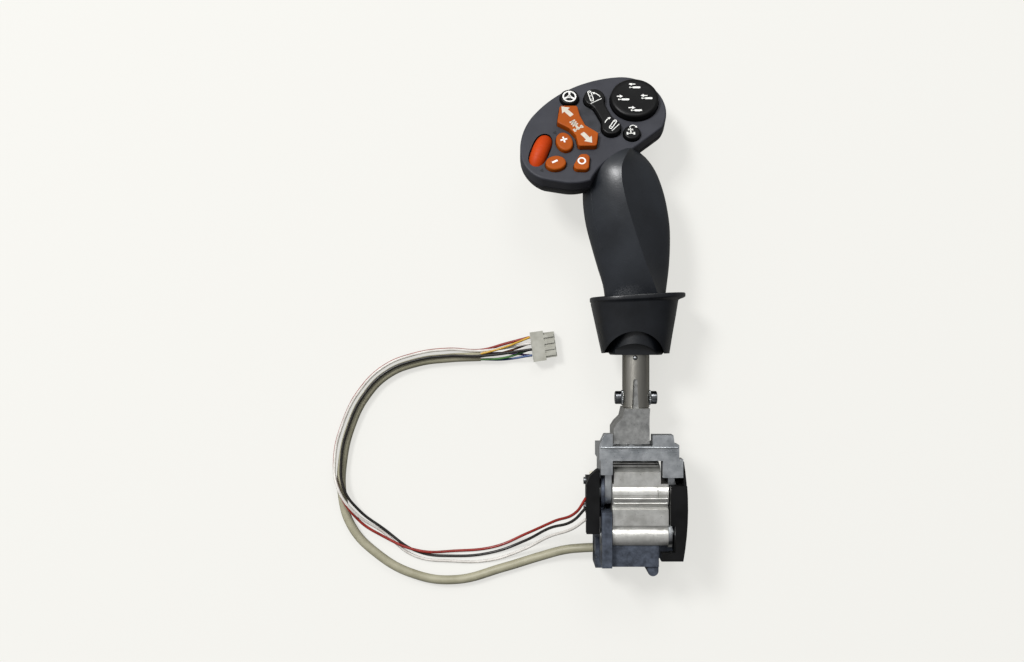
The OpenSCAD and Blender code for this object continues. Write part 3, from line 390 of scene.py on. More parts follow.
# a skin over closed loops of points, capped at both ends
def lofted(rings):
    bm = bmesh.new()
    loops = []
    for ring in rings:
        verts = [bm.verts.new(p) for p in ring]
        loops.append((verts, [bm.edges.new((verts[i - 1], verts[i])) for i in range(len(verts))]))
    for (_, lower), (_, upper) in zip(loops, loops[1:]):
        bmesh.ops.bridge_loops(bm, edges=lower + upper)
    bm.faces.new(loops[0][0])
    bm.faces.new(loops[-1][0])
    bmesh.ops.recalc_face_normals(bm, faces=bm.faces)
    return bm


# a fine raised line laid along points
def thread(points, radius):
    curve = bpy.data.curves.new("thread", "CURVE")
    curve.dimensions, curve.bevel_depth, curve.bevel_resolution = "3D", radius, 2
    spline = curve.splines.new("POLY")
    spline.points.add(len(points) - 1)
    for knot, point in zip(spline.points, points):
        knot.co = (*point, 1)
    line = bpy.data.objects.new("thread", curve)
    mesh = bpy.data.meshes.new_from_object(line)
    bpy.data.objects.remove(line)
    bpy.data.curves.remove(curve)
    bm = bmesh.new()
    bm.from_mesh(mesh)
    bpy.data.meshes.remove(mesh)
    return bm


# the cords leave the base, run round to the left and end in the connector
cords = {"cable": 6.2, "wire": 1.9, "fan": 1.5}
cableRoute = [(-26.9, -13.2, 11), (-34, -13.7, 10.2), (-46, -15.5, 7.4), (-62, -20.5, 3.6), (-88, -28.5, 3.1),
              (-122, -37, 3.1), (-150, -33, 3.1), (-176, -18.5, 3.1), (-193, 0, 3.1), (-199.5, 22, 3.1),
              (-199, 46, 3.1), (-193.5, 69, 3.1), (-183, 90, 3.1), (-168, 105, 3.1), (-148, 113, 3.1),
              (-126, 116, 3.1), (-104, 117, 3.1)]
wireRoutes = {
    "red": [(-33.7, 25, 41), (-40, 15, 37), (-54, 6.5, 22), (-72, -4.5, 6), (-94, -14.5, 1), (-122, -17.5, 1),
            (-146, -17, 3.4), (-172.3, -6.4, 3.2), (-188.6, 5.4, 6), (-201.5, 26, 7.6), (-205.2, 46.5, 1.2),
            (-199.3, 71.6, 1.2), (-187.8, 94, 1.2), (-171, 110.4, 1.2), (-149.5, 119, 1.2),
            (-126.6, 122.2, 1.2), (-104, 121.5, 2), (-86, 126.2, 2), (-70, 130.4, 3)],
    "black": [(-33.7, 18.6, 41), (-42, 9, 35), (-57, 1.5, 20), (-74, -10, 5), (-96, -18.5, 1), (-122, -21, 1),
              (-148, -17.8, 1), (-172, -1.5, 1.4), (-187.5, 11, 4.6), (-197.6, 26, 7.8), (-199.6, 46, 7.6),
              (-194.4, 69.6, 7.6), (-184, 91, 7.6), (-168.6, 106.6, 7.6), (-148.4, 114.6, 7.6),
              (-126, 117.6, 7.6), (-104, 117.6, 7.4), (-68.6, 122, 6.4)],
    "white": [(-33.7, 11, 41), (-42, 3.5, 33), (-57, -4.5, 18), (-76, -16.5, 4.5), (-98, -24, 1),
              (-124, -24.5, 1), (-150, -20.8, 1), (-172.5, -3.6, 1.2), (-190, 10, 8.8), (-201.6, 27, 9.7),
              (-204.6, 46.4, 3.5), (-198.9, 71.3, 3.4), (-187.4, 93.6, 3.4), (-170.8, 110, 3.4),
              (-149.4, 118.6, 3.4), (-126.6, 121.8, 3.4), (-104, 121, 4.2), (-69.2, 126.2, 6.4)]}
fanRoutes = {"yellow": [(-103.8, 118.9, 4.6), (-88, 123.3, 7.8), (-70, 130.4, 6.4)],
             "brown": [(-103.8, 117, 3.1), (-88, 119.9, 4), (-69.5, 126.3, 3)],
             "green": [(-103.8, 115.1, 4.6), (-88, 116.2, 5.1), (-68.9, 122.1, 3)],
             "violet": [(-103.8, 118.9, 1.6), (-88, 119.5, 2.1), (-68.3, 117.7, 3)],
             "blue": [(-103.8, 115.1, 1.6), (-88, 115, 2.1), (-68.4, 118, 6.4)]}


# a cord through its route, riding on the base
def laidCord(name, route, diameter, finish):
    line = bpy.data.curves.new(name, "CURVE")
    line.dimensions, line.bevel_depth, line.bevel_resolution, line.resolution_u = "3D", diameter / 2000, 6, 12
    line.use_fill_caps = True
    spline = line.splines.new("BEZIER")
    spline.bezier_points.add(len(route) - 1)
    for knot, place in zip(spline.bezier_points, route):
        knot.co = Vector(place) / 1000
        knot.handle_left_type = knot.handle_right_type = "AUTO"
    line.materials.append(finishes[finish])
    strand = bpy.data.objects.new(name, line)
    scene.collection.objects.link(strand)
    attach(strand, "base")
    return strand, spline.calc_length()


cable, cableLength = laidCord("mainCable", cableRoute, cords["cable"], "sheathPvc")
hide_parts("main_cable")
wires, fanWires = [], []
for shade, route in wireRoutes.items():
    wire, length = laidCord(shade + "Wire", route, cords["wire"], shade + "Pvc")
    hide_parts(shade + "_wire")
    wires.append((wire, route, length))
for shade, route in fanRoutes.items():
    wire = laidCord(shade + "Wire", route, cords["fan"], shade + "Pvc")[0]
    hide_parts("fan_out_wires")
    fanWires.append(wire)
print("cords", round(cableLength, 4), [round(length, 4) for _, _, length in wires])

bm = eased(copyOfNode("connector_housing"), 0.35, 2)
housing = piece("connectorHousing", bm, "connectorNylon", "base", "connector", ["connector_housing"])
dress("tinnedBrass", "connector_contacts")

head = {"bevel": 3, "topDepth": 8, "gap": 0.45, "foot": (-14, -8), "footR": 33.5, "notch": (38, -57),
        "notchR": 43.8, "seat": -15, "boreR": 2.9, "wellRoom": 1, "backWellRoom": 0.6}
headScrews = ((38.5, 6.5), (-3.5, 33.5), (-31, 6), (4.5, -20.5))


# at a, the angle between b and the point where the circles cross
def meetingAngle(a, ra, b, rb):
    d = (Vector(b) - Vector(a)).length
    return math.degrees(math.acos((ra * ra + d * d - rb * rb) / (2 * ra * d)))


# arcs round the crown, flank, side, corner and foot, then the grip's hollow
def headOutline(inset, fine=3):
    foot, notch = head["foot"], head["notch"]
    footR, notchR = head["footR"] - inset, head["notchR"] + inset
    toNotch = Vector(notch) - Vector(foot)
    footEnd = 360 + math.degrees(math.atan2(toNotch.y, toNotch.x)) - meetingAngle(foot, footR, notch, notchR)
    notchStart = math.degrees(math.atan2(-toNotch.y, -toNotch.x)) + meetingAngle(notch, notchR, foot, footR)
    out = []
    for centre, radius, start, end, steps in (
            ((21, 16), 28.8 - inset, -28, 94, 14), ((25.4, -34), 79 - inset, 98, 140, 9),
            ((-0.2, -14.7), 47 - inset, 145, 184, 7), ((-25, -17.8), 22 - inset, 190, 250, 7),
            (foot, footR, 262, footEnd, 5), (notch, notchR, notchStart - 0.8, 106, 7)):
        out += arcPoints(centre, radius, start, end, steps * fine)
    return out


keys = {"pad": (28.7, 23.2), "padR": 16, "steering": (-14.4, 25.4), "steeringR": 6.2, "headland": (25.9, -3.6),
        "headlandR": 5.6, "lobeA": (2.1, 24.2), "lobeB": (12.5, 0.4), "lobeAR": 7, "lobeBR": 6.4, "neck": 3.8,
        "fillet": 9, "plus": (-18.4, -10.9), "plusR": (7.4, 5.4), "plusTurn": -74, "minus": (-24.3, -27.6),
        "minusR": (6.7, 5.5), "minusTurn": 9, "skirt": -6.2, "rockerFloor": -2.4, "pocketFloor": -6}
directionCorners = [Vector(p) for p in ((-21, 17.2), (-23, 3.6), (-15, -1.4), (-11, -6.8), (-9.4, -15.4),
                                        (2.4, -15.2), (3.8, -5), (-4.6, 1.4), (-8, 9.6), (-9.4, 17.2))]
ringCorners = [Vector(p) for p in ((-14.6, -32.8), (-3.2, -33.4), (-2, -21), (-8.4, -20.6))]


# two round lobes with a waist between them
def linkageOutline(g):
    a, b = Vector(keys["lobeA"]), Vector(keys["lobeB"])
    half, waist = (a - b).length / 2, keys["neck"] + g
    out = []
    for sign, r in ((1, keys["lobeAR"] + g), (-1, keys["lobeBR"] + g)):
        f = keys["fillet"] - g
        y = half - math.sqrt((r + f) ** 2 - (waist + f) ** 2)
        lean = math.degrees(math.atan2(half - y, waist + f))
        side = arcPoints((waist + f, y), f, 180, 180 - lean, 8)
        lobe = arcPoints((0, half), r, -lean, 180 + lean, 28)
        other = [Vector((-p.x, p.y)) for p in reversed(side)]
        out += [sign * p for p in side + lobe[1:-1] + other]
    return placed(out, (a + b) / 2, math.degrees(math.atan2(a.y - b.y, a.x - b.x)) - 90)


# every key seen from above, grown by g
def keyOutlines(g):
    return {"steering": placed(ellipse(keys["steeringR"] + g, keys["steeringR"] + g), keys["steering"], 0),
            "headland": placed(ellipse(keys["headlandR"] + g, keys["headlandR"] + g), keys["headland"], 0),
            "pad": placed(ellipse(keys["padR"] + g + 0.1, keys["padR"] + g + 0.1, 72), keys["pad"], 0),
            "linkage": linkageOutline(g), "direction": rounded(grown(directionCorners, g), 1.8 + g),
            "plus": placed(ellipse(*(r + g for r in keys["plusR"])), keys["plus"], keys["plusTurn"]),
            "minus": placed(ellipse(*(r + g for r in keys["minusR"])), keys["minus"], keys["minusTurn"]),
            "ring": rounded(grown(ringCorners, g), 3 + g, 10)}


lens = {"rx": 12.4, "ry": 6.2, "at": (-1, 8.4), "turn": -59, "pocket": -0.8, "low": -0.7, "high": 0.5}
lensOutline = placed(ellipse(lens["rx"], lens["ry"]), lens["at"], lens["turn"])
roller = {"at": (-34, -16, -14), "turn": -19, "majorR": 13, "minorR": 5.5, "reach": 46, "wellReach": 60,
          "crease": 0.12, "creaseWidth": 1.1, "hubR": 3, "hubHalf": 5.8, "web": (2.4, 5, 9.5)}
rollerFrame = Matrix.Translation(roller["at"]) @ Matrix.Rotation(math.radians(roller["turn"]), 4, "Z")


# a round section swept part of a turn round the axle
def rollerRim(major, minor, reach):
    bm = bmesh.new()
    bmesh.ops.create_circle(bm, cap_ends=True, segments=32, radius=minor)
    bm.transform(Matrix.Rotation(math.radians(-reach), 4, "X") @ Matrix.Translation((0, 0, major))
                 @ Matrix.Rotation(math.pi / 2, 4, "X"))
    bmesh.ops.spin(bm, geom=bm.verts[:] + bm.edges[:] + bm.faces[:], cent=(0, 0, 0), axis=(1, 0, 0),
                   angle=math.radians(2 * reach), steps=2 * reach, use_merge=False)
    welded(bm, 1e-4)
    bmesh.ops.recalc_face_normals(bm, faces=bm.faces)
    return bm


# the hollow the roller turns in, wider by room
def rollerWell(room):
    bm = rollerRim(roller["majorR"], roller["minorR"] + room, roller["wellReach"])
    bm.transform(rollerFrame)
    return bm


# how far the back shell stands in from the outline, from its back upwards
headLevels = [(15, -31), (13.2, -30.2), (11.2, -28.4), (9.5, -26.5), (7.5, -24.4), (5.8, -22), (4.1, -19.7),
              (2.8, -17.5), (1.8, -15.4), (1, -13.5), (0.35, -11.6), (0, -10), (0, -8.9),
              (0.35, -8.5), (0.35, -8)]


def makeHeadShells():
    bm = plate(headOutline(0), -head["topDepth"] + 0.05, 0)
    rim = [e for e in bm.edges if all(v.co.z > -0.01 for v in e.verts)]
    bevelled(bm, rim, head["bevel"], 6)
    cutters = [plate(outline, keys["pocketFloor"], 5) for outline in keyOutlines(head["gap"]).values()]
    bm = cutAway(bm, *cutters, plate(lensOutline, lens["pocket"], 3), rollerWell(head["wellRoom"]))
    flattened(bm, 0.5)
    eased(bm, 0.35, 2, 40, lambda co: co.z > -1.5)
    piece("headPanel", bm, "panelAbs", "lever", "panel", ["head_top_shell"], headFrame)
    bm = lofted([[(p.x, p.y, z) for p in headOutline(inset)] for inset, z in headLevels])
    bores = [rod(head["boreR"], -45, head["seat"], 32, at=(x, y, 0)) for x, y in headScrews]
    bm = cutAway(bm, *bores, rollerWell(head["backWellRoom"]))
    piece("headBack", bm, "backAbs", "lever", "panel", ["head_back_shell"], headFrame)
    # the lens ends where the two rockers stand
    rockers = [keyOutlines(head["gap"])[label] for label in ("linkage", "direction")]
    bm = cutAway(plate(lensOutline, lens["low"], lens["high"]), *(plate(outline, -3, 3) for outline in rockers))
    piece("statusLens", eased(bm, 0.3, 2, 50), "lensGrey", "lever", "lens", ["status_lens"], headFrame)
    dress("boardResist", "key_board")
    dress("keyMat", "key_mat")
    dress("blackNylon", "roller_bracket", "pad_bracket")
    dress("blackenedSteel", "head_screws")
    dress("groundSteel", "pad_ring", "linkage_pin", "direction_pin", "roller_pin")


def makeKeys():
    outlines = keyOutlines(0)
    for label, height, crown, shade in (
            ("steering", 3, 1.3, "black"), ("headland", 3, 1.3, "black"), ("linkage", 4, 1.1, "black"),
            ("direction", 4, 0.7, "orange"), ("plus", 3, 1.3, "orange"), ("minus", 3, 1.3, "orange"),
            ("ring", 3, 1.0, "orange")):
        rocks = label in ("linkage", "direction")
        low = keys["rockerFloor"] if rocks else keys["skirt"]
        bm = plate(outlines[label], low, height)
        top = [e for e in bm.edges if all(v.co.z > height - 0.01 for v in e.verts)]
        bevelled(bm, top, crown, 4)
        node = label + ("_rocker" if rocks else "_button")
        piece(label + "Key", bm, shade + "Key", label + "_key", "key_" + shade, [node], headFrame)
    # the pad is a dished disc on a stem
    dish = [(0, 4.5), (5, 4.55), (9, 4.7), (12.4, 4.95), (14, 5), (15, 4.7), (15.7, 4.1)]
    rim, stalk = [(16, 3.2), (16, -1.4)], [(4.6, -1.4), (4.6, -6), (0, -6)]
    bm = turned(dish + rim + stalk, 96, at=(*keys["pad"], 0))
    piece("fourWayPad", bm, "blackKey", "pad", "key_black", ["four_way_pad"], headFrame)


def makeRoller():
    bm = rollerRim(roller["majorR"], roller["minorR"], roller["reach"])
    outside = roller["majorR"] + roller["minorR"]
    # five shallow creases across the rim
    for vert in bm.verts:
        turn = math.degrees(math.atan2(vert.co.y, vert.co.z))
        dip = sum(roller["crease"] * math.exp(-((turn - line) / roller["creaseWidth"]) ** 2)
                  for line in (-24, -12, 0, 12, 24))
        vert.co *= 1 - dip / outside
    rod(roller["hubR"], -roller["hubHalf"], roller["hubHalf"], 32, axis="X", bm=bm)
    x, y, top = roller["web"]
    merged(bm, eased(box((-x, -y, 0), (x, y, top)), 0.5))
    return piece("thumbRoller", bm, "rollerAbs", "roller", "roller", ["thumb_roller"], headFrame @ rollerFrame)



# the printed signs are flat outlines: bars, capsules, arrows and bands
def bar(a, b, width):
    along = (Vector(b) - Vector(a)).normalized() * width / 2
    across = Vector((-along.y, along.x))
    return [Vector(a) - across, Vector(b) - across, Vector(b) + across, Vector(a) + across]


def capsule(a, b, width):
    lean = math.degrees(math.atan2(b[1] - a[1], b[0] - a[0]))
    start, end = lean + 90, lean + 270
    return arcPoints(a, width / 2, start, end, 10) + arcPoints(b, width / 2, lean - 90, start, 10)


def arrow(tail, tip, shaft, width, length):
    along = (Vector(tip) - Vector(tail)).normalized()
    across = Vector((-along.y, along.x))
    neck = Vector(tip) - along * length
    thin, wide, tail, tip = across * shaft / 2, across * width / 2, Vector(tail), Vector(tip)
    return [tail - thin, neck - thin, neck - wide, tip, neck + wide, neck + thin, tail + thin]


def band(centre, inner, outer, start, end, steps=18):
    return arcPoints(centre, inner, start, end, steps) + arcPoints(centre, outer, start, end, steps)[::-1]


# a sign printed on a key at this height
def printed(name, shapes, height, body, slotName, finish="paleInk"):
    bm = bmesh.new()
    for outline in shapes:
        merged(bm, plate(outline, height - 0.05, height + 0.06))
    return piece(name, bm, finish, body, slotName, at=headFrame, weighted=False)


def makeSigns():
    padSigns = []
    for (x, y), (left, low), way in (((27.4, 34.2), (26, 31.4), -1), ((18.7, 24), (18.2, 21.4), 1),
                                     ((35, 24.6), (33.6, 22.4), -1), ((26.4, 14.6), (26.2, 12.4), 1)):
        padSigns += [arrow((x - 2.2 * way, y), (x + 2.3 * way, y), 0.8, 2.6, 2.1),
                     bar((left, low), (left + 2.4, low), 0.5), band((left, low), 0.01, 0.6, 0, 350),
                     capsule((left + 2.4, low), (left + 6.1, low), 1.5)]
    printed("padSigns", padSigns, 4.85, "pad", "key_black")
    wheelAt = keys["steering"]
    wheel = [band(wheelAt, 3.6, 4.6, start, start + 180) for start in (0, 180)]
    wheel.append(band(wheelAt, 0.01, 1.3, 0, 350))
    for angle in (88, 208, 328):
        reach = Vector((math.cos(math.radians(angle)), math.sin(math.radians(angle)))) * 3.8
        wheel.append(bar(wheelAt, Vector(wheelAt) + reach, 1.25))
    printed("wheelSign", wheel, 3, "steering_key", "key_black")
    # at each end a lifting arm, a ground line and a curved arrow
    linkage = [capsule((-1.1, 28), (0.4, 21.8), 2.6), bar((-0.6, 18.7), (6.8, 22.8), 0.5),
               band((0, 21), 6.4, 7, 28, 66), arrow((2.9, 26.8), (0.6, 28), 0.5, 2, 1.9),
               capsule((15, 4.2), (12, -0.8), 2.4), bar((17.6, 1.8), (12.7, -3.4), 0.5),
               band((14.2, 1.5), 5.7, 6.3, 122, 166), arrow((10.4, 6.2), (12.3, 7.3), 0.5, 2, 1.8)]
    printed("linkageSigns", linkage, 4, "linkage_key", "key_black")
    arms = [capsule((-1.1, 28), (0.4, 21.8), 1.4), capsule((15, 4.2), (12, -0.8), 1.2)]
    printed("linkageArms", arms, 4.05, "linkage_key", "key_black", "blackKey")
    pins = [band(at, 0.01, 0.35, 0, 350, 10)
            for at in ((-1, 27.6), (-0.35, 24.9), (0.3, 22.2), (14.8, 3.9), (12.3, -0.3))]
    printed("linkagePins", pins, 4.1, "linkage_key", "key_black")
    # two axles with their wheels and a turning arrow
    turnRound = [bar((24.9, -0.4), (25.1, -5), 0.8), bar((22.7, -4.8), (27.4, -4.8), 0.6),
                 bar((22.8, -5.8), (22.8, -3.8), 1.1), bar((27.2, -5.8), (27.2, -3.8), 1.1),
                 bar((23.7, -1.8), (26.4, -1.8), 0.5), bar((23.7, -2.4), (23.7, -1.2), 0.7),
                 bar((26.3, -2.4), (26.3, -1.2), 0.7), band((26.6, -0.6), 2, 2.5, 40, 165),
                 arrow((28, 1.1), (29.3, -0.3), 0.4, 1.7, 1.4)]
    printed("headlandSign", turnRound, 3, "headland_key", "key_black")
    travel = [arrow((-13.2, 8.7), (-19.9, 16.2), 3, 7, 4.4), arrow((-6.8, -5.3), (-0.6, -13.1), 3, 6.6, 4.3)]
    # the tractor between the two arrows
    spin, middle = Matrix.Rotation(math.radians(-57), 2), Vector((-10.6, 0.4))
    for a, b, width in (((-4.4, -2.1), (-4.4, 2.1), 1), ((-2.7, -2.1), (-2.7, 2.1), 1),
                        ((-1, -2.1), (-1, 2.1), 1), ((-4.6, 0), (3.4, 0), 1.5), ((2.4, -2.9), (2.4, 2.9), 1),
                        ((1.2, 2.8), (3.6, 2.8), 1.5), ((1.2, -2.8), (3.6, -2.8), 1.5)):
        travel.append(bar(spin @ Vector(a) + middle, spin @ Vector(b) + middle, width))
    printed("travelSigns", travel, 4, "direction_key", "key_orange", "greyInk")
    plus = [bar((-21, -10.4), (-16.6, -9.2), 1.15), bar((-19.4, -7.6), (-18.2, -12), 1.15)]
    printed("plusSign", plus, 3, "plus_key", "key_orange")
    printed("minusSign", [bar((-26.7, -28), (-23.2, -26.2), 1.4)], 3, "minus_key", "key_orange")
    circle = [band((-7.6, -26.6), 1.75, 2.75, start, start + 180) for start in (0, 180)]
    printed("ringSign", circle, 3, "ring_key", "key_orange")
    for label, at in (("upperMark", (-24.3, -1.9)), ("lowerMark", (-33.2, -31.9))):
        mark = [rounded(placed([(-1.5, -1), (1.5, -1), (0, 1.7)], at, -19), 0.3, 3)]
        printed(label, mark, 0.1, "lever", "panel", "backAbs")


makeHeadShells()
makeKeys()
makeRoller()
makeSigns()
print("head made")

# the lever stands along Y at this height above the bench
lever = {"z": 32, "tubeR": 9, "tubeEnd": 196, "restTop": 158.5, "restBottom": 120, "restX": 30, "restZ": 27,
         "restCentre": -0.4, "lean": 0.055}
grip = {"length": 94.8, "split": 38, "sides": 28, "steps": 44, "boreR": 3.2, "seamStart": 0.3, "seamSpan": 0.62,
        "seamPoints": 40, "seamSide": 11, "seamR": 0.16}
gripScrews = ((-14, 176), (14, 172), (-22, 216), (6, 216))
# stations: share of the length, left edge, right edge, ridge, front height, back height
gripStations = [(0, -21, 18.9, 12.4, 50, 10), (0.08, -22.4, 19.9, 9.4, 52.5, 8.6),
                (0.2, -25.9, 21.2, 4.6, 55, 6.8), (0.35, -30, 21.9, -0.7, 57.5, 5.4),
                (0.48, -33.2, 21.6, -4.9, 59.4, 4.8), (0.6, -35, 20, -8.4, 60.6, 5),
                (0.7, -35.5, 17.9, -10.8, 61, 5.6), (0.8, -35, 14.8, -12.2, 60.6, 7),
                (0.88, -34.4, 11.2, -11.6, 59, 9), (0.95, -33, 6.2, -8.6, 56, 12),
                (1, -30, 0.6, -5.4, 51.5, 16)]


# a station anywhere along the grip, on a smooth curve through the ones given
def stationAt(share):
    i = max(k for k in range(len(gripStations) - 1) if gripStations[k][0] <= share)
    before, a, b = gripStations[max(i - 1, 0)], gripStations[i], gripStations[i + 1]
    after = gripStations[min(i + 2, len(gripStations) - 1)]
    t = (share - a[0]) / (b[0] - a[0])
    out = []
    for p, q, r, s in list(zip(before, a, b, after))[1:]:
        slopeA = (r - p) / (b[0] - before[0]) * (b[0] - a[0]) if b[0] > before[0] else 0
        slopeB = (s - q) / (after[0] - a[0]) * (b[0] - a[0])
        out.append((2 * t ** 3 - 3 * t ** 2 + 1) * q + (t ** 3 - 2 * t ** 2 + t) * slopeA
                   + (3 * t ** 2 - 2 * t ** 3) * r + (t ** 3 - t ** 2) * slopeB)
    return out


# how high the front stands from ridge to edge: full on the left, falling fast on the right
def crown(t, left):
    dome = math.sqrt(max(0, 1 - t * t))
    return 0.2 * (1 - t) + 0.8 * dome if left else 0.55 * max(0, 1 - t) ** 1.7 + 0.45 * dome


def frontLine(station):
    left, right, ridge, front, _ = station
    n, rise = grip["sides"], front - grip["split"]
    shares = [math.cos(math.pi / 2 * i / n) for i in range(n + 1)]
    line = [(ridge + (left - ridge) * t, grip["split"] + rise * crown(t, True)) for t in shares]
    line += [(ridge + (right - ridge) * t, grip["split"] + rise * crown(t, False)) for t in shares[-2::-1]]
    return line


def rearLine(station):
    left, right, _, _, back = station
    n, drop = 2 * grip["sides"], grip["split"] - back
    middle, half = (left + right) / 2, (right - left) / 2
    angles = [math.pi * i / n for i in range(n + 1)]
    return [(middle + half * math.cos(a), grip["split"] - drop * abs(math.sin(a)) ** 0.8) for a in angles]


def makeGrip():
    for label, line, node in (("gripFront", frontLine, "grip_front_shell"),
                              ("gripRear", rearLine, "grip_rear_shell")):
        rings = []
        for k in range(grip["steps"] + 1):
            share = k / grip["steps"]
            lean = lever["lean"] if k == 0 else 0
            rings.append([(x, lever["restTop"] + share * grip["length"] + lean * x, z)
                          for x, z in line(stationAt(share))])
        bm = lofted(rings)
        seam = [e for e in bm.edges if e.is_manifold and e.calc_face_angle(0) > math.radians(30)
                and all(abs(v.co.z - grip["split"]) < 0.01 for v in e.verts)]
        bevelled(bm, seam, 0.35, 2)
        # the head's own shape, a touch larger, is cut out of the grip's top
        room = lofted([[(p.x, p.y, z) for p in headOutline(max(inset - 0.1, 0))]
                       for inset, z in headLevels[:-3] + [(0, 60)]])
        room.transform(headFrame)
        cutters = [room, rod(lever["tubeR"], 150, lever["tubeEnd"], 64, axis="Y", at=(0, 0, lever["z"]))]
        if label == "gripRear":
            cutters += [rod(grip["boreR"], -2, 16, 32, at=(x, y, 0)) for x, y in gripScrews]
        bm = cutAway(bm, *cutters)
        piece(label, bm, "gripSoft", "lever", "grip", [node], smooth=28)
    n = grip["seamPoints"]
    shares = [grip["seamStart"] + grip["seamSpan"] * i / n for i in range(n + 1)]
    line = [(*frontLine(stationAt(share))[grip["seamSide"]], share) for share in shares]
    seam = thread([(x, lever["restTop"] + share * grip["length"], z) for x, z, share in line], grip["seamR"])
    piece("gripSeam", seam, "gripSoft", "lever", "grip")
    dress("blackenedSteel", "grip_screws")


rest = {"wall": 2.4, "archR": 20.5, "archX": -2.5, "boreR": 9, "sleeveR": 18, "sleeveSkin": 10.4}


# a level of the hand rest: a soft rectangle with a lip on the right
def restRing(y, rx, rz, lip, tilt=1, aside=0, steps=120):
    ring = []
    for i in range(steps):
        a = 2 * math.pi * i / steps
        across, up = (math.copysign(abs(c) ** 0.76, c) for c in (math.cos(a), math.sin(a)))
        x = lever["restCentre"] - aside + rx * across + lip * max(0, math.cos(a)) ** 10
        ring.append((x, y + tilt * lever["lean"] * x, lever["z"] - rz * up))
    return ring


def makeHandRest():
    y0, y1, under = lever["restBottom"], lever["restTop"], lever["restTop"] - 3
    rx, rz, wall, bore = lever["restX"], lever["restZ"], rest["wall"], rest["boreR"]
    # levels: height along the lever, how far in across and up, lip, tilt, shift to the left
    levels = ((y0, 7.7, 6.5, 0, 0, 0), (y0 + 12, 5.5, 5.1, 0.1, 0.36, 0.3),
              (y0 + 24, 3.2, 3.3, 0.2, 0.72, 0.5), (under - 2, 1.5, 1.5, 0.4, 1, 0.8),
              (under - 1.2, 1.2, 1.2, 1, 1, 0.6), (under - 0.6, 0.7, 0.7, 2, 1, 0),
              (under, 0.2, 0.2, 2.8, 1, 0), (under + 0.6, 0, 0, 3, 1, 0), (y1 - 0.7, 0, 0, 3, 1, 0),
              (y1 - 0.2, 0.3, 0.3, 2.9, 1, 0), (y1, 0.9, 0.9, 2.7, 1, 0))
    bm = lofted([restRing(y, rx - inX, rz - inZ, *shape) for y, inX, inZ, *shape in levels])
    inner = lofted([restRing(y0 - 1, rx - 7.7 - wall, rz - 6.5 - wall, 0, 0),
                    restRing(under, rx - 2.2 - wall, rz - 1.8 - wall, 0)])
    arch = rod(rest["archR"], 0, 60, 96, at=(rest["archX"], y0 - 6, lever["z"]))
    hole = rod(bore, y0 - 5, y1 + 5, 64, axis="Y", at=(0, 0, lever["z"]))
    bm = cutAway(bm, inner, arch, hole)
    flattened(bm, 0.3)
    eased(bm, 0.4, 2, 45)
    piece("handRest", bm, "restAbs", "lever", "rest", ["hand_rest"], smooth=40)
    outside, end = rest["sleeveR"], under - 1.4
    sleeve = [(bore, y0 - 1), (outside - 0.8, y0 - 1), (outside, y0), (outside, end), (bore, end)]
    bm = turned(sleeve, 96, True, "Y", (0, 0, lever["z"]))
    arch = rod(rest["archR"], rest["sleeveSkin"], 60, 96, at=(rest["archX"], y0 - 14, lever["z"]))
    bm = eased(cutAway(bm, arch), 0.35, 2, 45)
    piece("collarSleeve", bm, "restAbs", "lever", "rest", ["collar_sleeve"], smooth=40)


makeGrip()
makeHandRest()
print("grip made")

stem = {"inner": 7, "outer": 9, "bottom": 84, "top": 196, "clampY": 90.5, "flat": 8.4, "recessR": 5.5,
        "boltR": 2.5, "washer": 1.5, "washerR": 5, "teeth": 24, "headR": 4.35, "socketR": 2.3,
        "pinAt": (-1.3, 117.1), "pinR": 1.6}


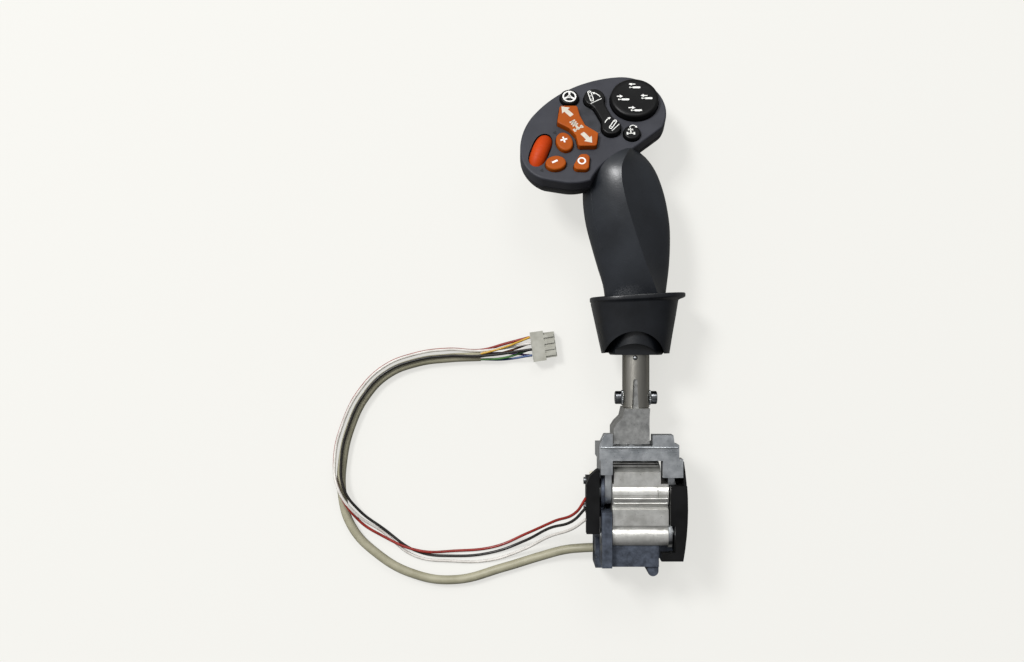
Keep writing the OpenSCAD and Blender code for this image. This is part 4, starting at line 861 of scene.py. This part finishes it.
def makeStem():
    z, inner, outer, bottom, top = lever["z"], stem["inner"], stem["outer"], stem["bottom"], stem["top"]
    tube = turned([(inner, bottom + 0.3), (inner + 0.3, bottom), (outer - 0.3, bottom), (outer, bottom + 0.3),
                   (outer, top - 0.3), (outer - 0.3, top), (inner, top)], 96, True, "Y", (0, 0, z))
    slotCorners = ((-3.6, 82), (1, 82), (0, 102), (-0.6, 103), (-1.9, 103), (-2.5, 102))
    slot = plate([Vector(p) for p in slotCorners], z + 1, z + 21)
    pinAt, pinR = (*stem["pinAt"], z), stem["pinR"]
    cutters = [slot, rod(pinR, 0, 20, 32, at=pinAt)]
    flat, clampAt = stem["flat"], (0, stem["clampY"], z)
    cutters += [rod(stem["recessR"], flat, 14, 48, axis=side, at=clampAt) for side in ("X", "-X")]
    bm = cutAway(tube, *cutters)
    flattened(bm, 0.3)
    piece("stemTube", eased(bm, 0.2, 2, 40), "drawnSteel", "lever", "tube", ["stem_tube"], smooth=30)
    ball = turned([(0, 9.7), (0.6, 9.6), (1.15, 9.3), (1.5, 8.8), (pinR, 8.2), (pinR, 6), (0, 6)], 32, at=pinAt)
    piece("tubePin", ball, "groundSteel", "lever", "steel", ["tube_pin"])
    screws, washers = bmesh.new(), bmesh.new()
    headR, bolt, thick, washerR = stem["headR"], stem["boltR"], stem["washer"], stem["washerR"]
    start = flat + thick
    for side in ("X", "-X"):
        profile = [(0, 1), (bolt, 1), (bolt, start), (headR - 0.2, start), (headR, start + 0.2),
                   (headR, start + 3.5), (headR - 0.5, start + 4), (0, start + 4)]
        screw = turned(profile, 40, axis=side, at=clampAt)
        outwards = Matrix.Rotation(math.pi / 2 if side == "X" else -math.pi / 2, 4, "Y")
        socket = bmesh.new()
        socketR = stem["socketR"]
        bmesh.ops.create_cone(socket, cap_ends=True, segments=6, radius1=socketR, radius2=socketR, depth=5)
        socket.transform(Matrix.Translation(clampAt) @ outwards @ Matrix.Translation((0, 0, start + 4)))
        merged(screws, cutAway(screw, socket))
        flange = washerR - 0.5
        profile = [(bolt, 0), (flange, 0), (washerR, 0.4), (washerR, 1.1), (flange, thick), (bolt, thick)]
        washer = turned(profile, 2 * stem["teeth"], True)
        # every second spoke of the washer's rim is drawn in, which leaves teeth
        for vert in washer.verts:
            spoke = round(math.atan2(vert.co.y, vert.co.x) / (2 * math.pi) * 2 * stem["teeth"])
            if math.hypot(vert.co.x, vert.co.y) > washerR - 0.3 and spoke % 2:
                vert.co.x, vert.co.y = vert.co.x * 0.93, vert.co.y * 0.93
        washer.transform(Matrix.Translation(clampAt) @ outwards @ Matrix.Translation((0, 0, flat)))
        merged(washers, washer)
    piece("clampScrews", screws, "zincSteel", "lever", "screw", ["clamp_screws"])
    piece("clampWashers", washers, "groundSteel", "lever", "steel", ["clamp_washers"], smooth=20)
    piece("forkStem", eased(copyOfNode("fork_stem"), 1.6, 3), "stemCasting", "lever", "stem", ["fork_stem"])


makeStem()
print("stem made")

block = {"left": -16.8, "right": 19.6, "narrow": 14.6, "grooveDepth": 0.7, "beadR": 0.8, "partingDepth": 0.2,
         "grooves": ((47.6, 0.3), (33.6, 0.25), (27.7, 0.35), (20.4, 0.4), (7.4, 0.3)), "upperBead": 46.3,
         "lowerBeads": (25.6, 22.4)}
saddle = {"ease": 0.7, "grooves": (57.6, 56.2), "grooveHalf": 0.16, "grooveDepth": 0.35, "padDepth": 0.5,
          "beadY": 59.1, "beadR": 0.7}
paste = {"at": (21.2, 3.6, 44.6), "radii": (2.1, 5.2, 2.4), "lump": 0.18}


# a CAD node eased and kept in its place, named after itself
def easedNode(node, radius, finish, slotName):
    first, second = node.split("_")
    piece(first + second.title(), eased(copyOfNode(node), radius, 2), finish, "base", slotName, [node])


# front height of a piece at a place in the row's plan
def heightAt(tree, x, y):
    return tree.ray_cast(Vector((x, y, 100)), Vector((0, 0, -1)))[0].z


# round beads across the block's front, sunk a third of their radius
def beaded(bm, tree, beads, right):
    radius, left = block["beadR"], block["left"] + 0.4
    for y in beads:
        z = heightAt(tree, 0, y) - radius * 0.35
        merged(bm, turned([(0, left), (radius - 0.2, left), (radius, left + 0.2), (radius, right - 0.2),
                           (radius - 0.2, right), (0, right)], 20, axis="X", at=(0, y, z)))


def makeBase():
    bm = copyOfNode("pivot_block")
    tree = BVHTree.FromBMesh(bm)
    grooves = [box((-20, y - half, heightAt(tree, 0, y) - block["grooveDepth"]), (30, y + half, 60))
               for y, half in block["grooves"]]
    parting = box((12.4, 21, heightAt(tree, 0, 40) - block["partingDepth"]), (12.8, 48, 60))
    bm = eased(cutAway(eased(bm, 0.5), *grooves, parting), 0.12, 1, 50)
    beaded(bm, tree, (block["upperBead"],), block["narrow"] - 0.5)
    beaded(bm, tree, block["lowerBeads"], block["right"] - 0.5)
    piece("pivotBlock", bm, "castAluminium", "base", "block", ["pivot_block"])
    bm = copyOfNode("saddle_frame")
    tree = BVHTree.FromBMesh(bm)
    top = heightAt(tree, 0, 55)
    half, bead = saddle["grooveHalf"], saddle["beadR"]
    low = top - saddle["grooveDepth"]
    grooves = [box((-24.6, y - half, low), (25, y + half, top + 5)) for y in saddle["grooves"]]
    padEdge = box((13.6, 41.2, top - saddle["padDepth"]), (14.4, 50.4, top + 5))
    bm = cutAway(eased(bm, saddle["ease"]), *grooves, padEdge)
    profile = [(0, -25), (bead - 0.2, -25), (bead, -24.8), (bead, 25.1), (bead - 0.2, 25.3), (0, 25.3)]
    merged(bm, turned(profile, 20, axis="X", at=(0, saddle["beadY"], top - 0.2)))
    piece("saddleFrame", bm, "saddleCasting", "saddle", "saddle", ["saddle_frame"])
    easedNode("base_casting", 0.7, "greyCasting", "base")
    easedNode("sensor_cover", 0.8, "blackNylon", "black_plastic")
    easedNode("switch_body", 0.4, "blackNylon", "black_plastic")
    easedNode("switch_cover", 0.5, "blackNylon", "black_plastic")
    easedNode("lower_axle", 0.4, "groundSteel", "steel")
    easedNode("tilt_axle", 0.4, "groundSteel", "steel")
    easedNode("cable_gland", 0.15, "glandRubber", "gland")
    # a lump of bearing paste pressed out beside the boss
    bm = bmesh.new()
    bmesh.ops.create_icosphere(bm, subdivisions=4, radius=1)
    for vert in bm.verts:
        lump = 1 + paste["lump"] * noise.noise(vert.co * 1.7 + Vector((3, 1, 2)))
        vert.co = Vector(a * r for a, r in zip(vert.co, paste["radii"])) * lump + Vector(paste["at"])
    piece("pasteBlob", bm, "bearingPaste", "base", "steel")
    dress("groundSteel", "axle_clips", "sensor_screws", "switch_screws", "side_tilt_pin")
    dress("ivoryAcetal", "switch_plunger")
    dress("sinteredBronze", "axle_bushes")


makeBase()
print("base made")

bench = {"size": 6, "drop": 0.0002, "tone": "#f5f4ef", "glow": 0.715, "paper": 0.25}
sky = {"tone": "#f2f3f5", "towards": (-0.35, 0.8, 0.4), "low": -0.7, "high": 0.9, "dim": 0.03, "bright": 0.7}
lamps = {"keyLight": {"at": (-1.9, 1.9, 3.1), "size": 0.9, "watts": 135},
         "topLight": {"at": (0.4, 2.8, 2.8), "size": 1.2, "watts": 30}}


def makeStage():
    bm = bmesh.new()
    bmesh.ops.create_grid(bm, x_segments=1, y_segments=1, size=bench["size"] / 2)
    bmesh.ops.translate(bm, verts=bm.verts, vec=(0, 0, -bench["drop"]))
    floor = asObject(bm, "bench")
    # the sheet glows evenly and takes shadows as plain paper
    tone = linear(bench["tone"])
    dimTone = [c * bench["paper"] for c in tone[:3]] + [1]
    finish = bpy.data.materials.new("benchPaper")
    finish.use_nodes = True
    tree = finish.node_tree
    tree.nodes.remove(tree.nodes["Principled BSDF"])
    path = addNode(tree, "LightPath")
    seen = addNode(tree, "Math", {}, {0: path.outputs["Is Camera Ray"], 1: path.outputs["Is Transmission Ray"]},
                   operation="MAXIMUM")
    glow = addNode(tree, "Emission", {"Color": tone, "Strength": bench["glow"]})
    paper = addNode(tree, "BsdfDiffuse", {"Color": dimTone})
    both = addNode(tree, "AddShader", {}, {0: glow.outputs[0], 1: paper.outputs[0]})
    choice = addNode(tree, "MixShader", {}, {0: seen.outputs[0], 1: paper.outputs[0], 2: both.outputs[0]})
    tree.links.new(choice.outputs[0], tree.nodes["Material Output"].inputs["Surface"])
    floor.data.materials.append(finish)
    # the sky is brighter towards the top and shows the sheet's own tone
    world = bpy.data.worlds.new("studio")
    world.use_nodes = True
    tree = world.node_tree
    light = tree.nodes["Background"]
    light.inputs["Color"].default_value = linear(sky["tone"])
    around = addNode(tree, "TexCoord")
    slope = addNode(tree, "VectorMath", {1: sky["towards"]}, {0: around.outputs["Generated"]},
                    operation="DOT_PRODUCT")
    level = addNode(tree, "MapRange", {"From Min": sky["low"], "From Max": sky["high"], "To Min": sky["dim"],
                                       "To Max": sky["bright"]}, {"Value": slope.outputs["Value"]})
    tree.links.new(level.outputs["Result"], light.inputs["Strength"])
    backdrop = addNode(tree, "Background", {"Color": tone, "Strength": 1})
    ray = addNode(tree, "LightPath")
    either = addNode(tree, "MixShader", {}, {0: ray.outputs["Is Camera Ray"], 1: light.outputs[0],
                                             2: backdrop.outputs[0]})
    tree.links.new(either.outputs[0], tree.nodes["World Output"].inputs["Surface"])
    scene.world = world
    for name, sizes in lamps.items():
        lamp = bpy.data.lights.new(name, "AREA")
        lamp.size, lamp.energy = sizes["size"], sizes["watts"]
        lampObject = bpy.data.objects.new(name, lamp)
        lampObject.location = sizes["at"]
        aim = Vector((-0.05, 0.12, 0)) - Vector(sizes["at"])
        lampObject.rotation_euler = aim.to_track_quat("-Z", "Y").to_euler()
        scene.collection.objects.link(lampObject)


makeStage()
print("stage made")
